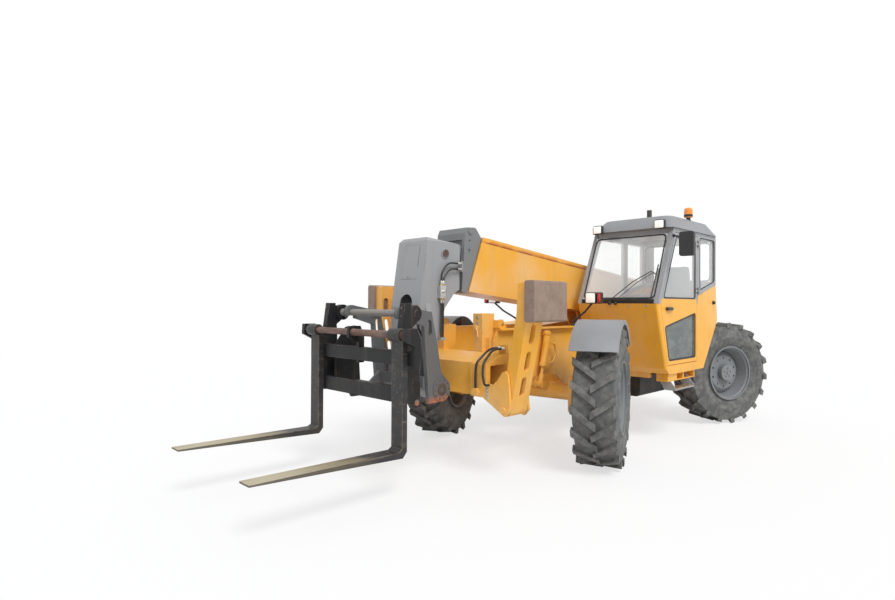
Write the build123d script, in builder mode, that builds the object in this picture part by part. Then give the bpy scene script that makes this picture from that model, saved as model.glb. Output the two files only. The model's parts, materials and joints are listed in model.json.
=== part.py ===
# Telescopic handler with a fork carriage and front stabilizers
# Front faces -Y, the machine's left is +X, the ground is Z = 0.
# Lengths are millimetres. Places along the machine are measured
# backwards from the front axle and placed by axle_y.
import math
import os

from build123d import *

os.makedirs("parts", exist_ok=True)

# Running gear
wheelbase = 2980
hub_z = 630
tyre_r = 630
tyre_width = 400
rim_r = 330
rim_wall = 14
kingpin_x = 879
kingpin_offset = 120
front_steer = 22.0
rear_steer = -23.4
fit = 0.3
run_gap = 6

# Overall reach, ahead of and behind the front axle
fork_reach = 3115
tail_reach = 3765
axle_y = (fork_reach - tail_reach) / 2

# Boom: pivot at the tail, raised a little towards the front
boom_x = -180
pivot_y = 3395
pivot_z = 1470
boom_angle = 5.54
boom_width = 380
boom_depth = 550
boom_wall = 10
boom_front_top = 3965
boom_front_low = 4110
boom_tail = -170
mid_width = 330
mid_low, mid_high = -250, 220
inner_width = 285
inner_low, inner_high = -235, 150
pad_length = 150
pad_gap = 0.5

# Neck and carriage pivots, behind the front axle and above the ground
neck_width = 390
neck_front = -1255
tilt_y, tilt_z = -1255, 740
tilt_base_y, tilt_base_z = -1048, 1936
tilt_rod_y, tilt_rod_z = -1304, 1016

# Lift cylinder pins
lift_base_y, lift_base_z = 2845, 920
lift_rod_y, lift_rod_z = 1495, 1200

# Cab
cab_left, cab_right = 1090, 140
cab_wall = 40
waist_z = 1490
roof_z = 2310
a_foot_y, a_top_y = 999, 1345
b_post_y = 1995
cab_rear_y = 2545
door_gap = 6
glass_t = 6
sill_z = 740
cowl_r = 30

# Frame
rail_x = 340
rail_t = 20


def at(x, y, z):
    """A point whose y is measured back from the front axle."""
    return Vector(x, axle_y + y, z)


def side(x):
    """Plane facing the machine's left: across is y, up is z."""
    return Plane(origin=at(x, 0, 0), x_dir=(0, 1, 0), z_dir=(1, 0, 0))


def face(y):
    """Plane facing the front: across is x, up is z."""
    return Plane(origin=at(0, y, 0), x_dir=(1, 0, 0), z_dir=(0, -1, 0))


def flat(z):
    """Level plane: across is x, up the page is y."""
    return Plane(origin=at(0, 0, z), x_dir=(1, 0, 0), z_dir=(0, 0, 1))


def prism(plane, points, depth, mode=Mode.ADD):
    """A closed outline on a plane, pulled out to a depth."""
    with BuildSketch(plane) as outline:
        with BuildLine():
            Polyline(*points, close=True)
        make_face()
    extrude(outline.sketch, amount=depth, mode=mode)


def plate(plane, points, radius, depth, mode=Mode.ADD):
    """A prism whose outline has rounded corners."""
    with BuildSketch(plane) as outline:
        with BuildLine():
            Polyline(*points, close=True)
        make_face()
        fillet(outline.vertices(), radius)
    extrude(outline.sketch, amount=depth, mode=mode)


def hose(points, radius, inside=0.42):
    """A hose through its points: straight runs joined by arcs as large as the runs allow."""
    turns = []
    for before, point, after in zip(points, points[1:], points[2:]):
        half = math.radians((point - before).get_angle(after - point)) / 2
        turns.append(inside * min((point - before).length, (after - point).length) / math.tan(half))
    print("hose radii", [round(turn) for turn in turns])
    with BuildLine() as route:
        FilletPolyline(*points, radius=turns)
    start = points[0]
    with BuildSketch(Plane(origin=start, z_dir=(points[1] - start).normalized())) as section:
        Circle(radius)
    sweep(section.sketch, path=route.wires()[0])


def block(x, y, z, mode=Mode.ADD):
    """A rectangular block between two limits along each axis."""
    with BuildSketch(flat(z[0])) as outline:
        with Locations(((x[0] + x[1]) / 2, (y[0] + y[1]) / 2)):
            Rectangle(x[1] - x[0], y[1] - y[0])
    extrude(outline.sketch, amount=z[1] - z[0], mode=mode)


def bar(start, end, radius, mode=Mode.ADD):
    """A round bar between two points."""
    run = end - start
    with BuildSketch(Plane(origin=start, z_dir=run.normalized())) as outline:
        Circle(radius)
    extrude(outline.sketch, amount=run.length, mode=mode)


def save(builder, name):
    """Labels a finished piece and writes it."""
    builder.part.label = name
    export_step(builder.part, f"parts/{name}.step")


slope = math.radians(boom_angle)
boom_dir = Vector(0, -math.cos(slope), math.sin(slope))
boom_up = Vector(0, math.sin(slope), math.cos(slope))


def boom_side(shift=0):
    """Plane along the boom: across is the way forward from the pivot."""
    return Plane(origin=at(boom_x + shift, pivot_y, pivot_z), x_dir=boom_dir, z_dir=(-1, 0, 0))


def boom_block(s, t, width, mode=Mode.ADD):
    """A block on the boom's centre line, between stations s and heights t."""
    points = [(s[0], t[0]), (s[1], t[0]), (s[1], t[1]), (s[0], t[1])]
    prism(boom_side(width / 2), points, width, mode)


# Main frame: two side rails tied by cross plates, with boom towers at the tail
beam_rear = -800
axle_seat = 765
rail_top = 1235
rail_outline = [(beam_rear, axle_seat), (beam_rear, 1000), (-690, rail_top), (900, rail_top),
                (1300, 1080), (3000, 1080), (3330, 1130), (3640, 1130), (3640, 700), (3350, 560),
                (wheelbase + 180, 560), (wheelbase + 160, axle_seat), (wheelbase - 160, axle_seat),
                (wheelbase - 180, 560), (2560, 560), (2300, 520), (900, 520), (560, 560),
                (220, axle_seat)]
tower_t = 30
tower_gap = 5
tower_reach = boom_width / 2 + tower_gap
pivot_pin_r = 55
# columns: from y, to y, from z, to z
cross_plates = [(-780, -760, 780, 960), (620, 640, 660, 1000), (1500, 1520, 530, 700),
                (2420, 2440, 600, 800), (3560, 3600, 720, 1150)]
lift_pin_r = 40
cab_mounts = [(1250, 1310), (2105, 2160)]
cab_mount_reach, cab_mount_h = 860, 60
lift_ear_gap = 92
level_x, level_pin_r = 402, 14
level_top_y, level_top_z = 0, 1185
level_foot_y, level_foot_z = -112, 700
lift_ear_t = 24
base_ear = [(2425, 640), (2560, 640), (2920, 860), (2920, 960), (2870, 1000), (2800, 1000),
            (2425, 760)]
tower = [(3150, 900), (3640, 900), (3640, 1420), (3500, 1620), (3290, 1620), (3150, 1420)]
with BuildPart() as main_frame:
    for x in (-rail_x, rail_x - rail_t):
        prism(side(x), rail_outline, rail_t)
    for low_y, high_y, low_z, high_z in cross_plates:
        block((-rail_x, rail_x), (low_y, high_y), (low_z, high_z))
    block((-rail_x, rail_x), (700, 2430), (520, 540))
    for way in (-1, 1):
        near, far = sorted((way * (rail_x - rail_t), way * (rail_x + 55)))
        block((near, far), (-690, 560), (rail_top, rail_top + 16))
    for inner in (boom_x - tower_reach - tower_t, boom_x + tower_reach):
        prism(side(inner), tower, tower_t)
    block((boom_x - tower_reach - tower_t, rail_x), (3150, 3640), (900, 920))
    bar(at(boom_x - 300, pivot_y, pivot_z), at(boom_x + 300, pivot_y, pivot_z),
        pivot_pin_r + fit, Mode.SUBTRACT)
    for x in (boom_x - lift_ear_gap - lift_ear_t, boom_x + lift_ear_gap):
        prism(side(x), base_ear, lift_ear_t)
    bar(at(boom_x - lift_ear_gap, lift_base_y, lift_base_z), at(boom_x + lift_ear_gap, lift_base_y, lift_base_z),
        lift_pin_r)
    for low_y, high_y in cab_mounts:
        block((rail_x - rail_t, cab_mount_reach), (low_y, high_y), (sill_z - cab_mount_h, sill_z - fit))
    bar(at(rail_x - 1, level_top_y, level_top_z), at(level_x + 34, level_top_y, level_top_z), level_pin_r)
save(main_frame, "main_frame")

# Levelling cylinder between the left rail and the front axle, with its hose
with BuildPart() as levelling_cylinder:
    top, foot = at(level_x, level_top_y, level_top_z), at(level_x, level_foot_y, level_foot_z)
    run = (foot - top).normalized()
    bar(top - Vector(26, 0, 0), top + Vector(26, 0, 0), 34)
    bar(top + run * 20, top + run * 325, 33)
    bar(top + run * 290, top + run * 325, 38)
    bar(top + run * 320, foot, 17)
    bar(foot - run * 95, foot, 25)
    bar(foot - Vector(28, 0, 0), foot + Vector(28, 0, 0), 32)
    for z, reach in ((1090, 55), (895, 15)):
        block((level_x - 14, level_x + 14), (-60, reach), (z - 16, z + 16))
    bar(top - Vector(40, 0, 0), top + Vector(40, 0, 0), level_pin_r + fit, Mode.SUBTRACT)
    bar(foot - Vector(40, 0, 0), foot + Vector(40, 0, 0), level_pin_r + fit, Mode.SUBTRACT)
    hose([at(level_x, 54, 1090), at(level_x, 125, 1084), at(level_x, 160, 990), at(level_x, 100, 900),
          at(level_x, 14, 895)], 10)
save(levelling_cylinder, "levelling_cylinder")

# Front frame: stabilizer cross-beam, arm brackets, headboard posts and flanges
beam_front, beam_low, beam_high, beam_half = -1055, 694, 970, 560
beam_wall = 14
arm_pin_x, arm_pin_z = 750, 615
arm_rear, arm_front = -855, -1075
arm_pin_r = 28
bracket_t = 24
arm_gap = 6
flange_top = rail_top + 16
rail_low_front = 1100
post_in, post_out, post_front, post_rear = 190, 300, -855, -690
beam_high_rear = 1045
eye_y, eye_z, eye_hole = -650, 1288, 19
post_top, boom_rest_top = 1390, 1280
bracket = [(beam_half - 170, beam_low), (700, 560), (770, 545), (815, 600), (800, 700),
           (730, 930), (beam_half, beam_high), (beam_half - 170, beam_high)]
front_bracket = [(beam_half - 30, beam_low), (640, 635), (770, 560), (812, 605), (822, 680), (800, 890), (770, 935),
                 (742, 925), (690, 850), (640, 812), (beam_half - 30, 812)]
knob_x, knob_z, knob_r = 468, 736, 34
with BuildPart() as front_frame:
    prism(side(-beam_half), [(beam_front, beam_low), (beam_rear, beam_low), (beam_rear, beam_high_rear),
                             (post_front, beam_high_rear), (beam_front, beam_high)], 2 * beam_half)
    block((-beam_half, beam_half), (beam_front + beam_wall, beam_rear - beam_wall),
          (beam_low + beam_wall, beam_high - beam_wall), Mode.SUBTRACT)
    for way in (-1, 1):
        near, far = sorted((way * 430, way * beam_half))
        block((near, far), (beam_front + beam_wall, beam_rear - beam_wall),
              (beam_low, beam_low + beam_wall), Mode.SUBTRACT)
        outline = [(way * x, z) for x, z in bracket]
        prism(face(arm_rear + arm_gap + bracket_t), outline, bracket_t)
        plate(face(arm_front - arm_gap), [(way * x, z) for x, z in front_bracket], 16, bracket_t)
        near, far = sorted((way * (beam_half - 170), way * beam_half))
        block((near, far), (arm_front - arm_gap - bracket_t, beam_front), (beam_low, beam_high))
        near, far = sorted((way * post_in, way * post_out))
        top = post_top if way > 0 else boom_rest_top
        plate(side(near), [(post_front, beam_high), (post_front, top), (post_rear, top), (post_rear, rail_low_front),
                           (beam_rear + 2, beam_high)], 6, far - near)
        near, far = sorted((way * (post_out - 1), way * (rail_x + 6)))
        block((near, far), (post_front + 45, post_front + 75), (beam_high_rear, 1172))
        # A lifting eye stands on the rail's flange
        plate(side(way * (rail_x + 20) - 10), [(post_rear - 2, flange_top + fit), (post_rear - 2, 1335), (eye_y + 5, 1335),
                                              (eye_y + 60, flange_top + fit)], 5, 20)
        bar(at(way * (rail_x + 50), eye_y, eye_z), at(way * (rail_x - 20), eye_y, eye_z), eye_hole, Mode.SUBTRACT)
        near, far = sorted((way * (post_out - 1), way * (rail_x + 25)))
        block((near, far), (post_rear - 20, post_rear), (flange_top + 10, 1330))
        bar(at(way * arm_pin_x, arm_rear + 60, arm_pin_z), at(way * arm_pin_x, arm_front - 60, arm_pin_z),
            arm_pin_r + fit, Mode.SUBTRACT)
    # The valve caps and hose unions of the left end
    union_y = arm_front - arm_gap - bracket_t
    bar(at(knob_x, union_y, knob_z), at(knob_x, union_y - 42, knob_z), knob_r)
    block((478, 558), (-835, -805), (beam_high_rear - 5, 1120))
save(front_frame, "front_frame")

# Hoses of the left end of the cross-beam
with BuildPart() as frame_hoses:
    hose([at(500, -835 - fit, 1095), at(500, -985, 1095), at(480, union_y - 28, 980), at(knob_x, union_y - 22, 880),
          at(knob_x, union_y - 22, knob_z + knob_r + fit)], 10)
    hose([at(538, -835 - fit, 1090), at(538, -985, 1090), at(560, union_y - 28, 985), at(572, union_y - 50, 890),
          at(600, union_y - 55, 805), at(600, union_y - fit, 805)], 10)
save(frame_hoses, "frame_hoses")

# Axles: a round-bellied housing between two forked ends that hold the kingpins
yoke_gap = 130
yoke_t = 36
yoke_r = 62
kingpin_r = 30
housing = [(0, 0), (0, 125), (110, 120), (190, 80), (640, 70), (760, 66), (760, 0)]
for name, line_y in (("axle_front", 0), ("axle_rear", wheelbase)):
    with BuildPart() as axle:
        for way in (-1, 1):
            plane = Plane(origin=at(0, line_y, hub_z), x_dir=(way, 0, 0), z_dir=(0, -1, 0))
            with BuildSketch(plane):
                with BuildLine():
                    Polyline(*housing, close=True)
                make_face()
            revolve(axis=Axis(at(0, line_y, hub_z), (1, 0, 0)))
            near, far = sorted((way * 690, way * 745))
            block((near, far), (line_y - 70, line_y + 70),
                  (hub_z - yoke_gap - yoke_t, hub_z + yoke_gap + yoke_t))
            for low in (hub_z + yoke_gap, hub_z - yoke_gap - yoke_t):
                near, far = sorted((way * 700, way * kingpin_x))
                block((near, far), (line_y - yoke_r, line_y + yoke_r), (low, low + yoke_t))
                bar(at(way * kingpin_x, line_y, low), at(way * kingpin_x, line_y, low + yoke_t), yoke_r)
                bar(at(way * kingpin_x, line_y, low - 1), at(way * kingpin_x, line_y, low + yoke_t + 1),
                    kingpin_r + fit, Mode.SUBTRACT)
            block((way * 320 - 45, way * 320 + 45), (line_y - 90, line_y + 90),
                  (hub_z + 40, axle_seat))
        if line_y == 0:
            for x in (level_x - 50, level_x + 30):
                plate(side(x), [(level_foot_y - 30, level_foot_z - 30), (level_foot_y - 30, level_foot_z + 30),
                                (-40, level_foot_z + 20), (-40, level_foot_z - 60)], 12, 20)
            bar(at(level_x - 50, level_foot_y, level_foot_z), at(level_x + 50, level_foot_y, level_foot_z), level_pin_r)
    save(axle, name)

# Knuckles, rims, tyres and front fenders, each turned to its resting steer angle
knuckle_gap = 4
hub_r = 95
hub_reach = 140
dish_holes, dish_hole_r, dish_hole_ring = 10, 13, 182
tyre_half = tyre_width / 2
tread_r, tread_half = 590, 168
# The tyre's rings without its lugs; columns: radius, distance out from its middle
bead_r = rim_r - 12
tyre_outline = [(rim_r + 16, -158), (450, -tyre_half - 3), (tread_r, -tread_half), (tread_r, tread_half),
                (450, tyre_half + 3), (rim_r + 16, 158)]
tyre_sides = 36
lug_count = 18
lug_w, lug_run = 46, 150
lug_out, lug_past = 190, 22
lug_root = 560
lug_half = lug_w / math.sqrt(2)
lug_top = math.sqrt(tyre_r ** 2 - (lug_run / 2 + lug_half) ** 2)
rim_outline = [(95, 55), (95, 75), (210, 75), (250, 45), (270, 20), (rim_r - 26, 150),
               (rim_r - 12, 165), (rim_r - 12, 185), (rim_r + 4, 185), (rim_r + 4, 168),
               (rim_r - 12.3, 160), (rim_r - 12.3, -160), (rim_r + 4, -168), (rim_r + 4, -185),
               (rim_r - 12, -185), (rim_r - 30, -160), (rim_r - 30, -40), (250, 0), (205, 55)]
fender_r, fender_t = 700, 8
fender_half, fender_arc, fender_lip = 205, 50, 34
stay_in, stay_t = 105, 10
stay_low = yoke_gap + yoke_t + knuckle_gap
corners = [("front_left", 1, 0, front_steer), ("front_right", -1, 0, front_steer),
           ("rear_left", 1, wheelbase, rear_steer), ("rear_right", -1, wheelbase, rear_steer)]
for name, way, line_y, steer in corners:
    turn = math.radians(steer)
    out = Vector(math.cos(turn), math.sin(turn), 0) * way
    pin = at(way * kingpin_x, line_y, hub_z)
    centre = pin + out * kingpin_offset
    # Across is the way out along the wheel's axle, up is the radius
    wheel_plane = Plane(origin=centre, x_dir=out, z_dir=out.cross(Vector(0, 0, 1)))
    spin = Axis(centre, out)
    with BuildPart() as knuckle:
        bar(pin - Vector(0, 0, yoke_gap - knuckle_gap), pin + Vector(0, 0, yoke_gap - knuckle_gap), 55)
        bar(pin - Vector(0, 0, yoke_gap + yoke_t), pin + Vector(0, 0, stay_low + stay_t), kingpin_r)
        bar(pin, centre + out * 50, 70)
        bar(centre + out * 20, centre + out * 54.7, 150)
        if line_y == 0:
            # The fender's stay stands on the kingpin's head, inside the tyre's inner wall
            stay = Plane(origin=pin - out * stay_in, x_dir=Vector(0, 0, 1).cross(out), z_dir=out)
            prism(stay, [(-60, stay_low), (-60, fender_r + 4), (60, fender_r + 4), (60, stay_low)], stay_t)
            prism(stay, [(-45, stay_low), (-45, stay_low + stay_t), (45, stay_low + stay_t), (45, stay_low)],
                  stay_in + 40)
    save(knuckle, f"knuckle_{name}")
    with BuildPart() as rim:
        with BuildSketch(wheel_plane):
            with BuildLine():
                Polyline(*[(across, radius) for radius, across in rim_outline], close=True)
            make_face()
        revolve(axis=spin)
        bar(centre + out * 55, centre + out * hub_reach, hub_r + 5)
        with BuildSketch(Plane(origin=centre + out * 30, x_dir=(0, 0, 1), z_dir=out)) as holes:
            with PolarLocations(dish_hole_ring, dish_holes):
                Circle(dish_hole_r)
        extrude(holes.sketch, amount=60, mode=Mode.SUBTRACT)
        with BuildSketch(Plane(origin=centre + out * hub_reach, x_dir=(0, 0, 1), z_dir=out)) as studs:
            with PolarLocations(50, 5):
                Circle(9)
            Circle(16)
        extrude(studs.sketch, amount=8)
    save(rim, f"rim_{name}")
    with BuildPart() as tyre:
        # The sidewalls' dishes come last and are cut out
        spans = list(zip(tyre_outline, tyre_outline[1:]))
        for (low_r, low), (high_r, high) in spans[1:-1] + [spans[0], spans[-1]]:
            with BuildSketch(Plane(origin=centre + out * low, x_dir=(0, 0, 1), z_dir=out)):
                RegularPolygon(low_r, tyre_sides)
            with BuildSketch(Plane(origin=centre + out * high, x_dir=(0, 0, 1), z_dir=out)):
                RegularPolygon(high_r, tyre_sides)
            loft(ruled=True, mode=Mode.SUBTRACT if rim_r + 16 in (low_r, high_r) else Mode.ADD)
        bar(centre - out * tyre_width, centre + out * tyre_width, bead_r, Mode.SUBTRACT)
        # Lugs slant from the shoulder to just past the middle and lead forwards over the top
        feet = []
        for half_side in (-1, 1):
            for k in range(lug_count):
                turned = 2 * math.pi * (k + (half_side + 1) / 4) / lug_count
                radial = Vector(0, 0, 1) * math.cos(turned) + out.cross(Vector(0, 0, 1)) * math.sin(turned)
                outer, inner = half_side * lug_out, -half_side * lug_past
                back, lead = -way * lug_run / 2, way * lug_run / 2
                with BuildSketch(Plane(origin=centre + radial * lug_root, x_dir=out, z_dir=radial)) as foot:
                    with BuildLine():
                        Polyline((outer, lead - lug_half), (outer, lead + lug_half), (inner, back + lug_half),
                                 (inner, back - lug_half), close=True)
                    make_face()
                feet += foot.sketch.faces()
        extrude(feet, amount=lug_top - lug_root)
    save(tyre, f"tyre_{name}")
    if line_y == 0:
        with BuildPart() as fender:
            with BuildSketch(Plane(origin=pin - out * (stay_in - stay_t),
                                   x_dir=Vector(0, 0, 1).cross(out), z_dir=out)) as arch:
                with BuildLine():
                    fold = math.radians(fender_arc)
                    tip = [(r * math.sin(fold), r * math.cos(fold)) for r in (fender_r, fender_r + fender_t)]
                    ThreePointArc((-tip[0][0], tip[0][1]), (0, fender_r), tip[0])
                    Line(tip[0], tip[1])
                    ThreePointArc(tip[1], (0, fender_r + fender_t), (-tip[1][0], tip[1][1]))
                    Line((-tip[1][0], tip[1][1]), (-tip[0][0], tip[0][1]))
                make_face()
            extrude(amount=fender_half * 2)
            # A lip hangs from the outer edge
            edge = Plane(origin=pin - out * (stay_in - stay_t - 2 * fender_half), x_dir=out.cross(Vector(0, 0, 1)),
                         z_dir=-out)
            with BuildSketch(edge) as lip:
                with BuildLine():
                    tip = [(r * math.sin(fold), r * math.cos(fold)) for r in (fender_r - fender_lip, fender_r + 1)]
                    ThreePointArc((-tip[0][0], tip[0][1]), (0, fender_r - fender_lip), tip[0])
                    Line(tip[0], tip[1])
                    ThreePointArc(tip[1], (0, fender_r + 1), (-tip[1][0], tip[1][1]))
                    Line((-tip[1][0], tip[1][1]), (-tip[0][0], tip[0][1]))
                make_face()
            extrude(lip.sketch, amount=fender_t)
        save(fender, f"fender_{name}")

# Boom: three nested tubes; the outer turns on the tail pin, the others slide
ear_gap = 62
clevis_t = 22
lug_in, lug_t = 56, 24
strip_t, strip_low = 6, 232
lift_rod_s = (pivot_y - lift_rod_y) * math.cos(slope) + (lift_rod_z - pivot_z) * math.sin(slope)
lift_rod_t = (lift_rod_y - pivot_y) * math.sin(slope) + (lift_rod_z - pivot_z) * math.cos(slope)
with BuildPart() as boom_outer:
    prism(boom_side(boom_width / 2), [(boom_tail, -boom_depth / 2), (boom_front_low, -boom_depth / 2),
                                      (boom_front_top, boom_depth / 2), (boom_tail, boom_depth / 2)],
          boom_width)
    inside_w = boom_width - 2 * boom_wall
    inside_h = boom_depth / 2 - boom_wall
    boom_block((boom_tail - 1, boom_front_low + 1), (-inside_h, inside_h), inside_w, Mode.SUBTRACT)
    boom_block((boom_front_top - pad_length - 40, boom_front_top - 40), (-inside_h, inside_h), inside_w)
    boom_block((boom_front_top - pad_length - 41, boom_front_top - 39),
               (mid_low - pad_gap, mid_high + pad_gap), mid_width + 2 * pad_gap, Mode.SUBTRACT)
    bar(at(boom_x - tower_reach - tower_t, pivot_y, pivot_z),
        at(boom_x + tower_reach + tower_t, pivot_y, pivot_z), pivot_pin_r)
    for way in (-1, 1):
        shift = way * (boom_width / 2 + strip_t / 2) + strip_t / 2
        prism(boom_side(shift), [(500, strip_low), (boom_front_top - 60 + 18, strip_low),
                                 (boom_front_top - 60, boom_depth / 2 + 2), (500, boom_depth / 2 + 2)], strip_t)
        prism(boom_side(shift), [(boom_front_low, -boom_depth / 2), (boom_front_top, boom_depth / 2),
                                 (boom_front_top - 34, boom_depth / 2), (boom_front_low - 34, -boom_depth / 2)], strip_t)
    for shift in (ear_gap + clevis_t, -ear_gap):
        prism(boom_side(shift), [(lift_rod_s - 190, -boom_depth / 2), (lift_rod_s - 60, lift_rod_t - 20),
                                  (lift_rod_s - 30, lift_rod_t - 60), (lift_rod_s + 30, lift_rod_t - 60),
                                  (lift_rod_s + 60, lift_rod_t - 20), (lift_rod_s + 190, -boom_depth / 2)],
              clevis_t)
save(boom_outer, "boom_outer")

head_rear_top, head_rear_low = boom_front_top + 14, boom_front_low + 14
head_front = 4215
mid_tail = 420
with BuildPart() as boom_mid:
    boom_block((mid_tail, head_front), (mid_low, mid_high), mid_width)
    prism(boom_side(boom_width / 2 - 4),
          [(head_rear_low, -boom_depth / 2 - 15), (head_front - 15, -boom_depth / 2 - 15),
           (head_front, 275), (head_front - 20, 330), (4084, 349), (4060, 340), (head_rear_top, 262)],
          boom_width - 8)
    boom_block((mid_tail, mid_tail + pad_length), (-inside_h + pad_gap, inside_h - pad_gap),
               inside_w - 2 * pad_gap)
    boom_block((mid_tail - 1, head_front + 1), (mid_low + boom_wall, mid_high - boom_wall),
               mid_width - 2 * boom_wall, Mode.SUBTRACT)
    boom_block((head_front - 30 - pad_length, head_front - 30),
               (mid_low + boom_wall, mid_high - boom_wall), mid_width - 2 * boom_wall)
    boom_block((head_front - 31 - pad_length, head_front - 29),
               (inner_low - pad_gap, inner_high + pad_gap), inner_width + 2 * pad_gap, Mode.SUBTRACT)
    for way in (-1, 1):
        skin = boom_x + way * (boom_width / 2 - 4)
        bar(at(skin, -699, 2170), at(skin + way * 10, -699, 2170), 28)
        bar(at(skin - way * 10, -717, 1983), at(skin + way, -717, 1983), 20, Mode.SUBTRACT)
        bar(at(skin - way * 10, -708, 2080), at(skin + way, -708, 2080), 11, Mode.SUBTRACT)
save(boom_mid, "boom_mid")

# Black pad holders on the head's front face, beside the inner section
with BuildPart() as head_pads:
    for way in (-1, 1):
        near, far = sorted((way * (inner_width / 2 + 8), way * (boom_width / 2 - 6)))
        prism(boom_side(far), [(head_front + fit, -268), (head_front + 26, -250), (head_front + 26, -110),
                               (head_front + fit, -90)], far - near)
save(head_pads, "head_pads")

inner_tail = 620
neck_t = 35
neck_outline = [(-1262, 2040), (-1240, 2072), (-855, 2030), (-855, 1610), (-930, 1568), (-1045, 1438),
                (-1150, 1050), (-1162, 740), (-1200, 665), (-1255, 645), (-1310, 665), (-1345, 740),
                (-1352, 1130), (-1352, 1450)]
wall_low = 1130
arch_top, arch_half = 1560, 85
valve_x = 62
drum_r, drum_half = 85, 320
cover_half, cover_low, cover_high, cover_t = 105, 1700, 2005, 4
lean = 90 / 590
tilt_pin_r = 30
with BuildPart() as boom_inner:
    prism(side(boom_x - neck_width / 2), neck_outline, neck_width)
    with BuildSketch(face(-700)) as crown:
        with BuildLine():
            Polyline((boom_x - neck_width / 2, 500), (boom_x - neck_width / 2, 2100), (boom_x + neck_width / 2, 2100),
                     (boom_x + neck_width / 2, 500), close=True)
        make_face()
        chamfer(crown.vertices().group_by(Axis.Z)[-1], 62)
    extrude(crown.sketch, amount=800, mode=Mode.INTERSECT)
    hollow = neck_width - 2 * neck_t
    prism(side(boom_x - hollow / 2), [(-1250, 2030), (-867, 1985), (-867, 1617), (-938, 1577), (-1056, 1444),
                                      (-1161, 1050), (-1100, 600), (-1500, 600), (-1500, wall_low),
                                      (-1340, wall_low), (-1340, 1450)], hollow, Mode.SUBTRACT)
    with BuildSketch(face(-1200)) as arch:
        with Locations((boom_x, arch_top - 300)):
            SlotOverall(600, 2 * arch_half, rotation=90)
    extrude(arch.sketch, amount=250, mode=Mode.SUBTRACT)
    prism(side(boom_x - cover_half), [(-1262 - (2040 - z) * lean - out, z) for z, out in
                                      ((cover_low, -4), (cover_low, cover_t), (cover_high, cover_t), (cover_high, -4))],
          2 * cover_half)
    # The pivot drum at the neck's foot, with a flared gusset on each side
    bar(at(boom_x - drum_half, tilt_y, tilt_z), at(boom_x + drum_half, tilt_y, tilt_z), drum_r)
    for way in (-1, 1):
        prism(face(tilt_y + 30), [(boom_x + way * x, z) for x, z in
                                  ((neck_width / 2 - 5, 1480), (neck_width / 2, 1480), (drum_half, 880),
                                   (drum_half, 790), (neck_width / 2 - 5, 790))], 60)
    # Valve block and clip of the hoses on the left side
    block((boom_x + neck_width / 2 - 2, valve_x), (-1142, -1082), (1525, 1640))
    block((boom_x + neck_width / 2 - 2, valve_x), (-1140, -1080), (1150, 1175))
    block((boom_x + neck_width / 2 - 2, valve_x), (-868, -856), (1775, 1872))
    boom_block((inner_tail, 4275), (inner_low, inner_high), inner_width)
    boom_block((inner_tail, inner_tail + pad_length),
               (mid_low + boom_wall + pad_gap, mid_high - boom_wall - pad_gap),
               mid_width - 2 * boom_wall - 2 * pad_gap)
    boom_block((inner_tail - 1, 4200), (inner_low + boom_wall, inner_high - boom_wall),
               inner_width - 2 * boom_wall, Mode.SUBTRACT)
    bar(at(boom_x - hollow / 2, tilt_base_y, tilt_base_z), at(boom_x + hollow / 2, tilt_base_y, tilt_base_z),
        tilt_pin_r)
    for way in (-1, 1):
        bar(at(boom_x + way * neck_width / 2, tilt_base_y, tilt_base_z),
            at(boom_x + way * (neck_width / 2 + 8), tilt_base_y, tilt_base_z), 46)
        bar(at(boom_x + way * neck_width / 2, tilt_base_y, tilt_base_z),
            at(boom_x + way * (neck_width / 2 + 16), tilt_base_y, tilt_base_z), 24)
    bar(at(boom_x - drum_half - 5, tilt_y, tilt_z), at(boom_x + drum_half + 5, tilt_y, tilt_z), 40 + fit,
        Mode.SUBTRACT)
save(boom_inner, "boom_inner")

# Two hoses arch over the neck's left side to its valve block and run on to the clip below
hose_r = 8
with BuildPart() as neck_hoses:
    for y, z, reach_y in ((-1122, 1850, -868 - fit), (-1098, 1797, -868 - fit)):
        hose([at(48, reach_y, z), at(50, y + 85, z), at(50, y, z - 85), at(48, y, 1640 + fit)], hose_r)
        bar(at(48, y, 1525 - fit), at(46, y, 1175 + fit), hose_r)
save(neck_hoses, "neck_hoses")

# Lift and tilt cylinders: a barrel on its base pin and a rod that slides out of it
# columns: name, base pin, rod pin, base pin radius, barrel radius, gland collar, rod radius, eye radius,
# base eye half width, rod eye half width, barrel length from the base pin, piston from and to
cylinders = [("lift", (lift_base_y, lift_base_z), (lift_rod_y, lift_rod_z), lift_pin_r, 80, 8, 45, 68,
              lift_ear_gap - 1, ear_gap - 1, 1180, 145, 225),
             ("tilt", (tilt_base_y, tilt_base_z), (tilt_rod_y, tilt_rod_z), tilt_pin_r, 45, 4, 24, 52,
              60, lug_in - 1, 400, 138, 182)]
bore_gap = 2
for (name, base_pin, rod_pin, pin_r, barrel_r, collar, rod_r, eye_r, base_half, rod_half, barrel_len,
     piston_low, piston_high) in cylinders:
    base = at(boom_x, *base_pin)
    tip = at(boom_x, *rod_pin)
    way = (tip - base).normalized()
    across = Vector(base_half, 0, 0)
    with BuildPart() as barrel:
        bar(base - across, base + across, eye_r)
        bar(base - across * 1.1, base + across * 1.1, pin_r + fit, Mode.SUBTRACT)
        bar(base + way * (eye_r - 12), base + way * barrel_len, barrel_r)
        bar(base + way * (barrel_len - 60), base + way * barrel_len, barrel_r + collar)
        bar(base + way * (eye_r + 25), base + way * (barrel_len + 1), rod_r + bore_gap, Mode.SUBTRACT)
    save(barrel, f"{name}_barrel")
    with BuildPart() as rod:
        bar(base + way * piston_low, tip - way * (eye_r - 12), rod_r)
        bar(base + way * piston_low, base + way * piston_high, rod_r + bore_gap - fit)
        bar(tip - Vector(rod_half, 0, 0), tip + Vector(rod_half, 0, 0), eye_r)
    save(rod, f"{name}_rod")

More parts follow.
